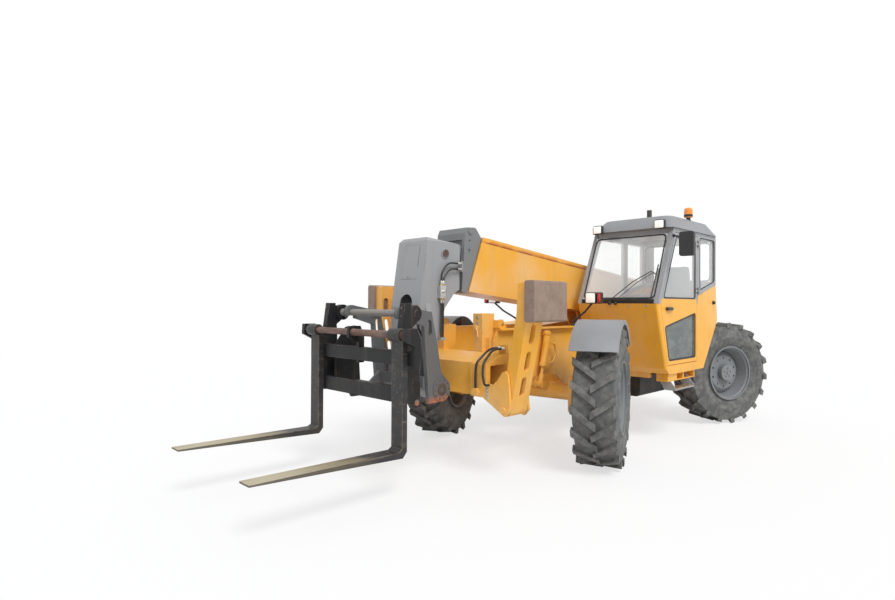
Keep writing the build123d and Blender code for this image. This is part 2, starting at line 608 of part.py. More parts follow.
# Hitch: two side plates on the neck's bottom pin, tied by tubes, with hooks at the top
hitch_in, hitch_t = 330, 40
hook_y, hook_z, hook_r, tube_r = -1690, 1396, 66, 30
lock_y, lock_z, lock_r = -1590, 672, 24
cheek_in, cheek_t = 395, 30
hitch_plate = [(-1165, 700), (-1185, 655), (-1225, 634), (-1400, 632), (-1445, 1098), (-1458, 1285), (-1660, 1345),
               (-1690, 1462), (-1372, 1404), (-1297, 1091), (-1259, 890), (-1165, 800)]
lock_arm = [(-1415, 765), (-1415, 860), (-1440, 860), (-1625, 700), (-1625, 650), (-1570, 635)]
rod_lug = [(-1420, 1000), (-1420, 760), (-1360, 760), (-1345, 800), (-1245, 1000), (-1270, 1065),
           (-1304, 1080), (-1345, 1065)]
with BuildPart() as hitch:
    for way in (-1, 1):
        low = boom_x + way * hitch_in if way > 0 else boom_x - hitch_in - hitch_t
        prism(side(low), hitch_plate, hitch_t)
        bar(at(low - 8, tilt_y, tilt_z), at(low + hitch_t + 8, tilt_y, tilt_z), 102)
        bar(at(low, hook_y, hook_z), at(low + hitch_t, hook_y, hook_z), hook_r)
        prism(side(low - 1), [(hook_y - 90, 1250), (hook_y + 45, 1250), (hook_y + 28, hook_z), (hook_y - 28, hook_z)],
              hitch_t + 2, Mode.SUBTRACT)
        with BuildSketch(side(low - 1)) as slot:
            with Locations((-1398, 1272)):
                SlotOverall(134, 54, rotation=94)
        extrude(slot.sketch, amount=hitch_t + 2, mode=Mode.SUBTRACT)
        near, far = sorted((boom_x + way * (hitch_in - 45), boom_x + way * (hitch_in + hitch_t)))
        block((near, far), (-1486, -1381), (1399, 1411))
    lock_half = cheek_in + cheek_t + 8
    bar(at(boom_x - lock_half, lock_y, lock_z), at(boom_x + lock_half, lock_y, lock_z), lock_r)
    for x in (boom_x - 280, boom_x + 250):
        prism(side(x), lock_arm, 30)
    bar(at(boom_x - hitch_in, tilt_y, tilt_z), at(boom_x + hitch_in, tilt_y, tilt_z), 40)
    for x in (boom_x - lug_in - lug_t, boom_x + lug_in):
        prism(side(x), rod_lug, lug_t)
    block((boom_x + hitch_in - 36, boom_x + hitch_in), (-1410, -1310), (1040, 1070))
    for way in (-1, 1):
        near, far = sorted((boom_x + way * lug_in, boom_x + way * (hitch_in + 5)))
        block((near, far), (-1440, -1415), (770, 860))
    bar(at(boom_x - 400, hook_y, hook_z), at(boom_x + 400, hook_y, hook_z), tube_r + fit, Mode.SUBTRACT)
save(hitch, "hitch")

# Carriage: a hook tube, cheeks, two cross bars, uprights and the shaft that the forks hang on
shaft_y, shaft_z, shaft_r, shaft_half = -1924, 1240, 28, 700
bar_front, bar_rear = -1870, -1812
fork_eye_r = 50
cheek = [(bar_rear, 715), (bar_rear, 1115), (-1700, 1265), (-1605, 1275), (-1575, 1107), (-1546, 700),
         (-1540, 630), (-1640, 630), (-1690, 715)]
eye_r = 70
upright_x, upright_t = 520, 60
upright = [(bar_front, 710), (bar_front, 1180), (-1850, 1300), (-1825, 1480), (-1760, 1480),
           (-1740, 1200), (-1740, 710)]
end_lug = [(bar_rear, 985), (bar_rear, 1200), (-1850, 1290), (shaft_y - 40, 1290),
           (shaft_y - 45, 1200), (bar_front, 1150), (bar_front, 985)]
with BuildPart() as carriage:
    block((boom_x - 720, boom_x + 720), (bar_front, bar_rear), (1005, 1115))
    block((boom_x - 550, boom_x + 550), (bar_front, bar_rear), (715, 835))
    for way in (-1, 1):
        for inner, thick, outline in ((cheek_in, cheek_t, cheek), (upright_x - upright_t / 2, upright_t, upright),
                                      (shaft_half - 20, 40, end_lug)):
            low = boom_x + (inner if way > 0 else -inner - thick)
            prism(side(low), outline, thick)
    prism(side(boom_x - 15), end_lug, 30)
    bar(at(boom_x - 545, hook_y, hook_z), at(boom_x + 545, hook_y, hook_z), tube_r)
    for way in (-1, 1):
        low = boom_x + (upright_x - 20 if way > 0 else -upright_x - 20)
        prism(side(low), [(-1800, 1240), (-1800, 1440), (hook_y, hook_z + eye_r), (hook_y, hook_z - eye_r)], 40)
        near, far = sorted((boom_x + way * (upright_x - 50), boom_x + way * (upright_x - 5)))
        bar(at(near, hook_y, hook_z), at(far, hook_y, hook_z), eye_r)
    bar(at(boom_x - shaft_half - 22, shaft_y, shaft_z), at(boom_x + shaft_half + 22, shaft_y, shaft_z),
        shaft_r)
    bar(at(boom_x - cheek_in - 40, lock_y, lock_z), at(boom_x + cheek_in + 40, lock_y, lock_z), lock_r + fit,
        Mode.SUBTRACT)
save(carriage, "carriage")

# Two hoses hang behind the left hitch plate, between a bulkhead and a clip on its inner face
with BuildPart() as hitch_hoses:
    for x, y in ((119, -1472), (134, -1430)):
        hose([at(x, y, 1399 - fit), at(x, y, 1285), at(x, y + 75, 1170), at(x, y + 75, 1070 + fit)], hose_r + 2)
save(hitch_hoses, "hitch_hoses")

# Forks: an eye on the shaft, a shank in front of the bars and a tapered blade
fork_x, fork_w, shank_t = 572, 130, 50
shank_rear = bar_front - 1
shank_front = shank_rear - shank_t
heel_z, blade_t, blade_tip_t, blade_tilt = 320, 50, 14, 2.5
lift_tip = math.tan(math.radians(blade_tilt))
blade_run = fork_reach + shank_front
fork_outline = [(shank_rear, 1200), (shank_front, 1200), (shank_front, heel_z + 70),
                (shank_front - 30, heel_z + 52), (-fork_reach, heel_z + blade_tip_t + blade_run * lift_tip),
                (-fork_reach, heel_z + blade_run * lift_tip), (shank_front - 40, heel_z + 2),
                (shank_front + 10, heel_z), (shank_rear, heel_z + 45)]
for name, way in (("left", 1), ("right", -1)):
    mid_x = boom_x + way * fork_x
    with BuildPart() as fork:
        prism(side(mid_x - fork_w / 2), fork_outline, fork_w)
        bar(at(mid_x - fork_w / 2, shaft_y, shaft_z), at(mid_x + fork_w / 2, shaft_y, shaft_z), fork_eye_r)
        bar(at(mid_x - fork_w, shaft_y, shaft_z), at(mid_x + fork_w, shaft_y, shaft_z), shaft_r + 0.5,
            Mode.SUBTRACT)
    save(fork, f"fork_{name}")

# Stabilizers: an arm on each bracket pin, its sole, and a cylinder from the cross-beam to a crank
arm_w = 100
crank_r, crank_lean = 180, 125
crank_x = arm_pin_x + crank_r * math.cos(math.radians(crank_lean))
crank_z = arm_pin_z + crank_r * math.sin(math.radians(crank_lean))
push_x, push_z = 130, 830
push_y = (arm_front + arm_rear) / 2
flange_t = 14
push_pin = (arm_rear - arm_front) / 2 - flange_t - 1
lobe = [(720, 575), (565, 735), (572, 785), (625, 805), (760, 850), (800, 700), (760, 580)]
arm_outline = [(705, 580), (730, 562), (770, 562), (800, 590), (958, 1325), (958, 1655), (872, 1640),
               (862, 1400), (800, 1095), (700, 660)]
arm_hollow = [(500, 540), (745, 540), (790, 690), (938, 1380), (938, 1700), (500, 1700)]
hub_tube_r = 55
arm_slots = [(800, 802), (860, 1013), (915, 1235), (950, 1450)]
sole_in = 958 + fit
sole_out, sole_low, sole_high = 1062, 1335, 1665
sole_front, sole_rear = -1105, -655
for name, way in (("left", 1), ("right", -1)):
    with BuildPart() as arm:
        outline = [(way * x, z) for x, z in arm_outline]
        prism(face(arm_rear), outline, arm_rear - arm_front)
        prism(face(arm_rear), [(way * x, z) for x, z in lobe], arm_rear - arm_front)
        prism(face(arm_rear - flange_t), [(way * x, z) for x, z in arm_hollow],
              arm_rear - arm_front - 2 * flange_t, Mode.SUBTRACT)
        bar(at(way * arm_pin_x, arm_rear, arm_pin_z), at(way * arm_pin_x, arm_front, arm_pin_z), hub_tube_r)
        for x, z in arm_slots:
            with BuildSketch(Plane(origin=at(way * (x - 40), (arm_rear + arm_front) / 2, z),
                                   x_dir=(0, 1, 0), z_dir=(way, 0, 0))) as slot:
                SlotOverall(165, 62, rotation=90)
            extrude(slot.sketch, amount=120, mode=Mode.SUBTRACT)
        bar(at(way * arm_pin_x, arm_rear + 45, arm_pin_z), at(way * arm_pin_x, arm_front - 45, arm_pin_z),
            arm_pin_r)
    save(arm, f"stabilizer_arm_{name}")
    with BuildPart() as sole:
        near, far = sorted((way * sole_in, way * sole_out))
        block((near, far), (sole_front, sole_rear), (sole_low, sole_high))
        chamfer(sole.edges().filter_by(Axis.Y), length=14)
    save(sole, f"stabilizer_sole_{name}")
    base = at(way * push_x, push_y, push_z)
    tip = at(way * crank_x, push_y, crank_z)
    reach = (tip - base).normalized()
    with BuildPart() as rod:
        bar(base + reach * 70, tip - reach * 25, 22)
        bar(base + reach * 70, base + reach * 120, 24 - fit)
        bar(tip - Vector(0, 40, 0), tip + Vector(0, 40, 0), 34)
        bar(tip - Vector(0, push_pin, 0), tip + Vector(0, push_pin, 0), 18)
    save(rod, f"stabilizer_rod_{name}")

# Both stabilizer barrels lie in the cross-beam on its centre web
with BuildPart() as stabilizer_barrels:
    for way in (-1, 1):
        base = at(way * push_x, push_y, push_z)
        reach = (at(way * crank_x, push_y, crank_z) - base).normalized()
        bar(base - reach * 20, base + reach * 320, 45)
        bar(base + reach * 40, base + reach * 321, 24, Mode.SUBTRACT)
        near, far = sorted((way * (push_x - 50), way * (push_x + 40)))
        block((near, far), (push_y - 30, push_y + 30), (beam_low + beam_wall + fit, push_z))
save(stabilizer_barrels, "stabilizer_barrels")

# Cab shell: one folded panel tub below the glass, open at the door and the top
shell_outline = [(965, waist_z), (1170, 800), (1245, sill_z), (2165, sill_z), (2595, 1290),
                 (cab_rear_y, 1720), (2005, 1586), (b_post_y, waist_z)]
tall_outline = [(965, waist_z), (1170, 800), (1245, sill_z), (2165, sill_z), (2595, 1290),
                (cab_rear_y, 1720), (cab_rear_y, 2400), (965, 2400)]
door_outline = [(1034, waist_z + 6), (1200, 838), (1965, 838), (b_post_y - 25, 2262), (1384, 2262)]
# The shell steps up over the left rail
hump_x = rail_x + door_gap + cab_wall
hump_top = rail_top + door_gap + cab_wall
with BuildPart() as cab_shell:
    prism(side(cab_right), shell_outline, cab_left - cab_right)
    corners_front = [edge for edge in cab_shell.edges() if edge.center().Y < axle_y + 1190
                     and min(abs(edge.center().X - cab_left), abs(edge.center().X - cab_right)) < 1
                     and edge.center().Z < waist_z - 1]
    fillet(corners_front, cowl_r)
    with BuildSketch(side(cab_right + cab_wall)) as inside:
        with BuildLine():
            Polyline(*tall_outline, close=True)
        make_face()
        offset(amount=-cab_wall, kind=Kind.INTERSECTION, mode=Mode.REPLACE)
        with Locations(((cab_rear_y + 965) / 2, hump_top - 500)):
            Rectangle(2000, 1000, mode=Mode.SUBTRACT)
    extrude(inside.sketch, amount=cab_left - cab_right - 2 * cab_wall, mode=Mode.SUBTRACT)
    with BuildSketch(side(hump_x)) as foot_well:
        with BuildLine():
            Polyline(*tall_outline, close=True)
        make_face()
        offset(amount=-cab_wall, kind=Kind.INTERSECTION, mode=Mode.REPLACE)
    extrude(foot_well.sketch, amount=cab_left - cab_wall - hump_x, mode=Mode.SUBTRACT)
    block((cab_right - 1, rail_x + door_gap), (900, 2700), (600, rail_top + door_gap), Mode.SUBTRACT)
    with BuildSketch(side(cab_left - cab_wall - 1)) as opening:
        with BuildLine():
            Polyline(*door_outline, close=True)
        make_face()
        offset(amount=door_gap, kind=Kind.INTERSECTION)
    extrude(opening.sketch, amount=cab_wall + 2, mode=Mode.SUBTRACT)
save(cab_shell, "cab_shell")

# Cab frame: pillars and rails above the shell, with the door's hinge lugs
hinge_x, hinge_y = cab_left + 15, b_post_y - 8
hinge_z = (1640, 2180)
hinge_r, hinge_pin_r = 13, 6
hinge_half, knuckle_half = 36, 15
post = 50
upper_outline = [(a_foot_y - 28, waist_z + fit), (b_post_y, waist_z + fit), (2005, 1586 + fit),
                 (cab_rear_y, 1720 + fit), (cab_rear_y, roof_z), (a_top_y, roof_z)]
quarter = [(2055, 1655), (cab_rear_y - post, 1765), (cab_rear_y - post, roof_z - 55), (2055, roof_z - 55)]
right_window = [(a_foot_y + 62, waist_z + 50), (1990, waist_z + 50), (1990, roof_z - 55), (a_top_y + 62, roof_z - 55)]
with BuildPart() as cab_frame:
    for low, holes in ((cab_left - post, (quarter,)), (cab_right, (quarter, right_window))):
        prism(side(low), upper_outline, post)
        for hole in holes:
            prism(side(low - 1), hole, post + 2, Mode.SUBTRACT)
    with BuildSketch(side(cab_left - post - 1)) as opening:
        with BuildLine():
            Polyline(*door_outline, close=True)
        make_face()
        offset(amount=door_gap, kind=Kind.INTERSECTION)
    extrude(opening.sketch, amount=post + 2, mode=Mode.SUBTRACT)
    block((cab_right + post, cab_left - post), (a_foot_y - 20, a_foot_y + 22), (waist_z + fit, waist_z + 45))
    block((cab_right + post, cab_left - post), (a_top_y - 4, a_top_y + 60), (roof_z - 60, roof_z))
    block((cab_right + post, cab_left - post), (cab_rear_y - post, cab_rear_y), (roof_z - 60, roof_z))
    block((cab_right + post, cab_left - post), (cab_rear_y - post, cab_rear_y), (1720 + fit, 1765))
    for z in hinge_z:
        for low, high in ((z - hinge_half, z - knuckle_half - 1), (z + knuckle_half + 1, z + hinge_half)):
            block((cab_left, hinge_x), (hinge_y, hinge_y + 36), (low, high))
            bar(at(hinge_x, hinge_y, low), at(hinge_x, hinge_y, high), hinge_r)
        bar(at(hinge_x, hinge_y, z - hinge_half), at(hinge_x, hinge_y, z + hinge_half), hinge_pin_r)
save(cab_frame, "cab_frame")

# Cab roof: a moulded cap with a raised crown
roof_over = 25
with BuildPart() as cab_roof:
    with BuildSketch(flat(roof_z + fit)):
        with Locations(((cab_left + cab_right) / 2, (a_top_y - 90 + cab_rear_y + roof_over) / 2)):
            RectangleRounded(cab_left - cab_right + 2 * roof_over, cab_rear_y + roof_over - a_top_y + 90, 90)
    with BuildSketch(flat(roof_z + 150)):
        with Locations(((cab_left + cab_right) / 2, (a_top_y + 60 + cab_rear_y - 60) / 2)):
            RectangleRounded(cab_left - cab_right - 140, cab_rear_y - a_top_y - 120, 110)
    loft(ruled=True)
save(cab_roof, "cab_roof")

# Cab glass: windscreen, right, quarter and rear panes
lean = Vector(0, a_top_y - a_foot_y, roof_z - waist_z).normalized()
screen = [(a_foot_y + 2, waist_z + 45.5), (a_foot_y + 9, waist_z + 45.5),
          (a_foot_y + 9 + (roof_z - 106 - waist_z) * lean.Y / lean.Z, roof_z - 60.5),
          (a_foot_y + 2 + (roof_z - 106 - waist_z) * lean.Y / lean.Z, roof_z - 60.5)]


def pane(x, outline):
    """A pane that fills a window hole, less its rubber's gap."""
    with BuildSketch(side(x)) as glass:
        with BuildLine():
            Polyline(*outline, close=True)
        make_face()
        offset(amount=-fit, kind=Kind.INTERSECTION, mode=Mode.REPLACE)
    extrude(glass.sketch, amount=glass_t)


with BuildPart() as cab_glass:
    prism(side(cab_right + post + fit), screen, cab_left - cab_right - 2 * (post + fit))
    pane(cab_left - post / 2, quarter)
    pane(cab_right + post / 2, quarter)
    pane(cab_right + post / 2, right_window)
    block((cab_right + post + fit, cab_left - post - fit), (cab_rear_y - 30, cab_rear_y - 30 + glass_t),
          (1765 + fit, roof_z - 60 - fit))
save(cab_glass, "cab_glass")

# Door: one panel with an upper window and a kick window, hinged on the rear post
door_t = 40
door_in = cab_left - door_t
upper_hole = [(1100, waist_z + 62), (1920, waist_z + 62), (1920, 2215), (1412, 2215)]
kick_hole = [(1136, 1245), (1921, 1384), (1921, 887), (1232, 887)]
with BuildPart() as door:
    prism(side(door_in), door_outline, door_t)
    for hole in (upper_hole, kick_hole):
        prism(side(door_in - 1), hole, door_t + 2, Mode.SUBTRACT)
    block((cab_left, cab_left + 28), (1150, 1270), (1425, 1447))
    for z in hinge_z:
        block((cab_left, cab_left + 8), (b_post_y - 75, b_post_y - 20), (z - knuckle_half, z + knuckle_half))
        block((cab_left + 2.5, cab_left + 8), (b_post_y - 21, hinge_y), (z - knuckle_half, z + knuckle_half))
        bar(at(hinge_x, hinge_y, z - knuckle_half), at(hinge_x, hinge_y, z + knuckle_half), hinge_r - 0.5)
        bar(at(hinge_x, hinge_y, z - hinge_half), at(hinge_x, hinge_y, z + hinge_half), hinge_pin_r + fit,
            Mode.SUBTRACT)
save(door, "door")
with BuildPart() as door_glass:
    pane(door_in + door_t / 2, upper_hole)
    pane(door_in + door_t / 2, kick_hole)
save(door_glass, "door_glass")

# Seat and steering column inside the cab
seat_x, seat_y = 640, 2080
floor_top = sill_z + cab_wall + fit
with BuildPart() as seat:
    block((seat_x - 160, seat_x + 160), (seat_y - 200, seat_y + 60), (floor_top, 1190))
    block((seat_x - 240, seat_x + 240), (seat_y - 250, seat_y + 230), (1190, 1310))
    prism(side(seat_x - 235), [(seat_y + 120, 1310), (seat_y + 230, 1250), (seat_y + 330, 1900),
                               (seat_y + 290, 1960), (seat_y + 230, 1940)], 470)
    fillet(seat.edges().filter_by(Axis.X).group_by(Axis.Z)[-1], 25)
save(seat, "seat")

wheel_r, grip_r = 190, 14
column_top = at(seat_x, 1480, 1560)
column_foot = at(seat_x, 1385, floor_top)
column_dir = (column_top - column_foot).normalized()
with BuildPart() as steering_wheel:
    bar(column_foot + column_dir * 20, column_top, 32)
    bar(column_foot, column_foot + Vector(0, 0, 30), 90)
    with BuildSketch(Plane(origin=column_top, x_dir=(1, 0, 0), z_dir=Vector(1, 0, 0).cross(column_dir))):
        with Locations((wheel_r, 0)):
            RegularPolygon(grip_r, 8)
    revolve(axis=Axis(column_top, column_dir))
    for turn in (90, 210, 330):
        spoke = Vector(math.cos(math.radians(turn)), 0, 0) + (
            column_dir.cross(Vector(1, 0, 0)) * math.sin(math.radians(turn)))
        bar(column_top, column_top + spoke * wheel_r, 9)
save(steering_wheel, "steering_wheel")

# Engine pod on the right rail, open below, over one plain engine block
hood_in, hood_out, hood_wall = -390, -1130, 25
hood_low, hood_front, hood_rear = 620, 860, 2240
hood_outline = [(hood_front, hood_low), (hood_front, 1130), (930, 1215), (2170, 1325), (hood_rear, 1270),
                (hood_rear, hood_low)]
with BuildPart() as engine_hood:
    prism(side(hood_out), hood_outline, hood_in - hood_out)
    fillet(engine_hood.edges().filter_by(Axis.Y, reverse=True).group_by(Axis.X)[0].group_by(Axis.Z)[-1], 40)
    with BuildSketch(side(hood_out + hood_wall)) as inside:
        with BuildLine():
            Polyline(*[(y, z if z > hood_low else hood_low - 100) for y, z in hood_outline], close=True)
        make_face()
        offset(amount=-hood_wall, kind=Kind.INTERSECTION, mode=Mode.REPLACE)
    extrude(inside.sketch, amount=hood_in - hood_out - 2 * hood_wall, mode=Mode.SUBTRACT)
    block((hood_in - hood_wall - 1, hood_in + 1), (960, 2140), (hood_low - 1, 900), Mode.SUBTRACT)
    block((hood_in - hood_wall - 1, hood_in + 1), (1300, 2100), (1150, 1185), Mode.SUBTRACT)
    with BuildSketch(side(hood_out - 1)) as grille:
        with Locations((1550, 1000)):
            with GridLocations(0, 44, 1, 7):
                RectangleRounded(900, 24, 10)
    extrude(grille.sketch, amount=hood_wall + 2, mode=Mode.SUBTRACT)
    for low_y in (hood_front, hood_rear - 80):
        block((hood_in, -rail_x), (low_y, low_y + 80), (700, 760))
save(engine_hood, "engine_hood")
with BuildPart() as engine_block:
    block((-1000, -500), (1000, 2000), (660, 1130))
    for low_y in (1050, 1870):
        block((-500, -rail_x), (low_y, low_y + 80), (700, 780))
save(engine_block, "engine_block")

# Tank under the cab and the tail weight
with BuildPart() as fluid_tank:
    block((rail_x, 720), (1320, 2098), (450, 715))
    fillet(fluid_tank.edges().filter_by(Axis.Y).group_by(Axis.X)[-1], 50)
save(fluid_tank, "fluid_tank")
with BuildPart() as tail_weight:
    prism(side(-430), [(3640, 600), (tail_reach - 30, 600), (tail_reach, 660), (tail_reach, 1060),
                       (tail_reach - 60, 1120), (3640, 1120)], 860)
save(tail_weight, "tail_weight")

# Exhaust behind the cab, step, mirror, beacon and lamps
exhaust_x, exhaust_y, exhaust_top = 170, 2695, 2760
with BuildPart() as exhaust:
    block((140, rail_x), (exhaust_y - 30, exhaust_y + 30), (1080 + fit, 1110))
    bar(at(exhaust_x, exhaust_y, 1090), at(exhaust_x, exhaust_y, 2300), 60)
    bar(at(exhaust_x, exhaust_y, 2290), at(exhaust_x, exhaust_y, exhaust_top), 32)
save(exhaust, "exhaust")

step_y = (1320, 1820)
with BuildPart() as step:
    for low_y in (step_y[0], step_y[1] - 12):
        prism(face(low_y + 12), [(900, sill_z - fit), (1000, sill_z - fit), (1120, 590), (1120, 560), (1000, 560)], 12)
    block((1000, 1120), step_y, (560, 572))
save(step, "step")

with BuildPart() as mirror:
    arm_root = at(cab_left + fit, a_top_y - 22, roof_z - 90)
    glass_at = at(1310, 1130, 2105)
    bar(arm_root, arm_root + Vector(16, 0, 0), 18)
    bar(arm_root + Vector(12, 0, 0), glass_at + Vector(0, 20, 60), 9)
    with BuildSketch(Plane(origin=glass_at, x_dir=(1, 0, 0), z_dir=(0, 1, 0))):
        RectangleRounded(150, 250, 25)
    extrude(amount=45)
save(mirror, "mirror")

with BuildPart() as beacon:
    foot = at(1000, 1945, roof_z + 150)
    bar(foot, foot + Vector(0, 0, 30), 20)
    bar(foot + Vector(0, 0, 30), foot + Vector(0, 0, 62), 44)
    bar(foot + Vector(0, 0, 62), foot + Vector(0, 0, 145), 48)
    fillet(beacon.edges().group_by(Axis.Z)[-1], 30)
save(beacon, "beacon")

# columns: lamp centre x, y, z, and the foot of its stalk
stalks = [((600, 570, 1545), (rail_x + 28, 520, rail_top + 16)),
          ((-800, 570, 1545), (-rail_x - 28, 520, rail_top + 16))]
with BuildPart() as lamps:
    for centre, foot in stalks:
        mid = at(*centre)
        block((centre[0] - 95, centre[0] + 95), (centre[1] - 45, centre[1] + 45), (centre[2] - 62, centre[2] + 62))
        pad = at(*foot) + Vector(0, 0, fit)
        bar(pad, pad + Vector(0, 0, 22), 22)
        bar(pad + Vector(0, 0, 12), mid - Vector(0, 0, 40), 11)
    for x in (cab_right + 110, cab_left - 100):
        block((x - 62, x + 62), (a_top_y - 145, a_top_y - 90 - fit), (roof_z - 20, roof_z + 85))
    for way in (-1, 1):
        near, far = sorted((way * 330, way * 420))
        block((near, far), (tail_reach - 110, tail_reach - 70), (1120 + fit, 1200))
save(lamps, "lamps")
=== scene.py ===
import json
import math
import bmesh
import bpy
import numpy as np
from mathutils import Matrix, Vector


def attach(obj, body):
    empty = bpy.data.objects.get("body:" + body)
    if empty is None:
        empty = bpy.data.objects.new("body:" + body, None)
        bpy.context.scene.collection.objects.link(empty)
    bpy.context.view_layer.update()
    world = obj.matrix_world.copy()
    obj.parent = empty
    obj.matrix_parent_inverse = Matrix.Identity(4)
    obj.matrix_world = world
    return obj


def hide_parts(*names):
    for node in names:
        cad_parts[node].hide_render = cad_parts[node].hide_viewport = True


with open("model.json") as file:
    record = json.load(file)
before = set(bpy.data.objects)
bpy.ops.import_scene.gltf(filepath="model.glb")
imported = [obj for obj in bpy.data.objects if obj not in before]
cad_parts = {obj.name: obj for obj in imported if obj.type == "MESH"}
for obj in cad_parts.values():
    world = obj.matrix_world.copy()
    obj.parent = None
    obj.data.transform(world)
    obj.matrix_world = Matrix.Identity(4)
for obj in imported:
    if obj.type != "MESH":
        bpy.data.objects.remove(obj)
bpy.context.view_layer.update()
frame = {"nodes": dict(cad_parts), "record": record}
nodes = frame["nodes"]
scene = bpy.context.scene
print("frame loaded:", len(nodes), "nodes")


class Wire:
    # One output socket; + - * / on it add Math nodes, reflected forms included

    def __init__(self, shader, socket):
        self.shader, self.socket = shader, socket

    def maths(self, operation, *values):
        return self.shader.add("ShaderNodeMath", {"operation": operation}, dict(enumerate(values)))

    def __add__(self, other): return self.maths("ADD", self, other)
    def __radd__(self, other): return self.maths("ADD", other, self)
    def __sub__(self, other): return self.maths("SUBTRACT", self, other)
    def __rsub__(self, other): return self.maths("SUBTRACT", other, self)
    def __mul__(self, other): return self.maths("MULTIPLY", self, other)
    def __rmul__(self, other): return self.maths("MULTIPLY", other, self)
    def __truediv__(self, other): return self.maths("DIVIDE", self, other)
    def __rtruediv__(self, other): return self.maths("DIVIDE", other, self)

    def most(self, other): return self.maths("MAXIMUM", self, other)
    def root(self): return self.maths("SQRT", self)
    def size(self): return self.maths("ABSOLUTE", self)

    def step(self, low, high):
        # 0 below low, 1 above high, a straight ramp between
        return self.shader.add("ShaderNodeMapRange", {"clamp": True},
                               {"Value": self, "From Min": low, "From Max": high})


class Shader:
    # A material and the one method that adds nodes to it

    def __init__(self, name, owner=None):
        self.material = owner or bpy.data.materials.new(name)
        self.material.use_nodes = True
        self.tree = self.material.node_tree
        self.tree.nodes.clear()
        if owner is None:
            self.place = self.add("ShaderNodeTexCoord", output="Object")

    def add(self, kind, settings=None, inputs=None, output=0):
        # Adds a node, sets it up, links or sets its inputs and gives the wire that leaves it
        node = self.tree.nodes.new(kind)
        for key, value in (settings or {}).items():
            setattr(node, key, value)
        for key, value in (inputs or {}).items():
            if isinstance(value, Wire):
                self.tree.links.new(value.socket, node.inputs[key])
            else:
                target = node.inputs[key]
                if isinstance(value, tuple) and len(value) == 3 and target.type == "RGBA":
                    value = (*value, 1.0)
                target.default_value = value
        return None if output is None else Wire(self, node.outputs[output])

    def noise(self, scale, detail=4.0, rough=0.55, stretch=(1, 1, 1), shift=(0, 0, 0)):
        # Cloudy values between 0 and 1 at the object's own places, stretched and shifted
        place = self.add("ShaderNodeMapping", {}, {"Vector": self.place, "Scale": stretch, "Location": shift})
        return self.add("ShaderNodeTexNoise", {}, {"Vector": place, "Scale": scale, "Detail": detail,
                                                   "Roughness": rough}, "Fac")

    def mix(self, mask, low, high):
        # The colour low where the mask is 0 and high where it is 1
        return self.add("ShaderNodeMix", {"data_type": "RGBA"}, {0: mask, 6: low, 7: high}, 2)

    def along(self, axis):
        # The place along one axis, in metres
        return self.add("ShaderNodeSeparateXYZ", {}, {0: self.place}, axis)

    def edges(self, radius):
        # Near an edge the rounded normal leans away from the true one
        rounded = self.add("ShaderNodeBevel", {"samples": 4}, {"Radius": radius})
        true = self.add("ShaderNodeNewGeometry", output="Normal")
        dot = self.add("ShaderNodeVectorMath", {"operation": "DOT_PRODUCT"}, {0: rounded, 1: true}, "Value")
        return (1 - dot).step(0.01, 0.16)

    def finish(self, **sockets):
        # The surface shader, with an underscore in a socket's name for each space
        surface = self.add("ShaderNodeBsdfPrincipled", {}, {k.replace("_", " "): v for k, v in sockets.items()})
        self.add("ShaderNodeOutputMaterial", {}, {"Surface": surface}, None)
        return self.material

    def bump(self, height, depth, strength=1.0):
        # Fine relief of the given depth in metres
        return self.add("ShaderNodeBump", {}, {"Height": height, "Distance": depth, "Strength": strength})


def wornPaint(name, colour, rough=0.42, dust=0.3, rust=0.25, chip=0.35, under=(0.10, 0.055, 0.03), fade=0.25,
              pale=(0.86, 0.78, 0.60), dirt=(0.22, 0.19, 0.15), seam=None, shine=0.5):
    # Paint that has faded, with dust low down, streaks, chipped edges and rust where it is bare.
    # colour is a colour, or a function of the shader that gives one; seam is a rusty mask of its own
    s = Shader(name)
    body = colour(s) if callable(colour) else colour
    cloud = s.noise(1.3, 5.0)
    blot = s.noise(7.0, 6.0, 0.62, shift=(3.1, 0.4, 1.7))
    speck = s.noise(60.0, 3.0, 0.6)
    streak = s.noise(9.0, 4.0, 0.6, stretch=(1.0, 1.0, 0.09))
    body = s.mix(cloud.step(0.42, 0.72) * fade, body, pale)
    body = s.mix(streak.step(0.54, 0.8) * 0.16, body, dirt)
    low = (1.0 - s.along("Z").step(0.25, 1.25)) * 0.85 + 0.15
    grime = low * blot.step(0.46, 0.72) * dust
    body = s.mix(grime, body, dirt)
    edge = s.edges(0.008)
    bare = edge * blot.step(0.50, 0.58) + speck.step(0.72, 0.75) * 0.7 * blot.step(0.52, 0.6)
    bare = (bare * chip).step(0.18, 0.34)
    ruddy = s.mix(speck.step(0.4, 0.6), under, tuple(c * 1.9 for c in under))
    body = s.mix(bare, body, ruddy)
    stain = streak.step(0.62, 0.74) * blot.step(0.54, 0.64) * rust
    body = s.mix(stain, body, (0.30, 0.12, 0.035))
    if seam:
        body = s.mix(seam(s) * (blot.step(0.36, 0.52) * 0.75 + 0.2), body, (0.52, 0.14, 0.025))
    finish = bare * 0.3 + grime * 0.5 + (blot * 0.16 + (rough - 0.08))
    normal = s.bump(speck * 0.25 + blot * 0.5 - bare * 0.8, 0.001, 0.45)
    return s.finish(Base_Color=body, Roughness=finish, Normal=normal, Specular_IOR_Level=shine)


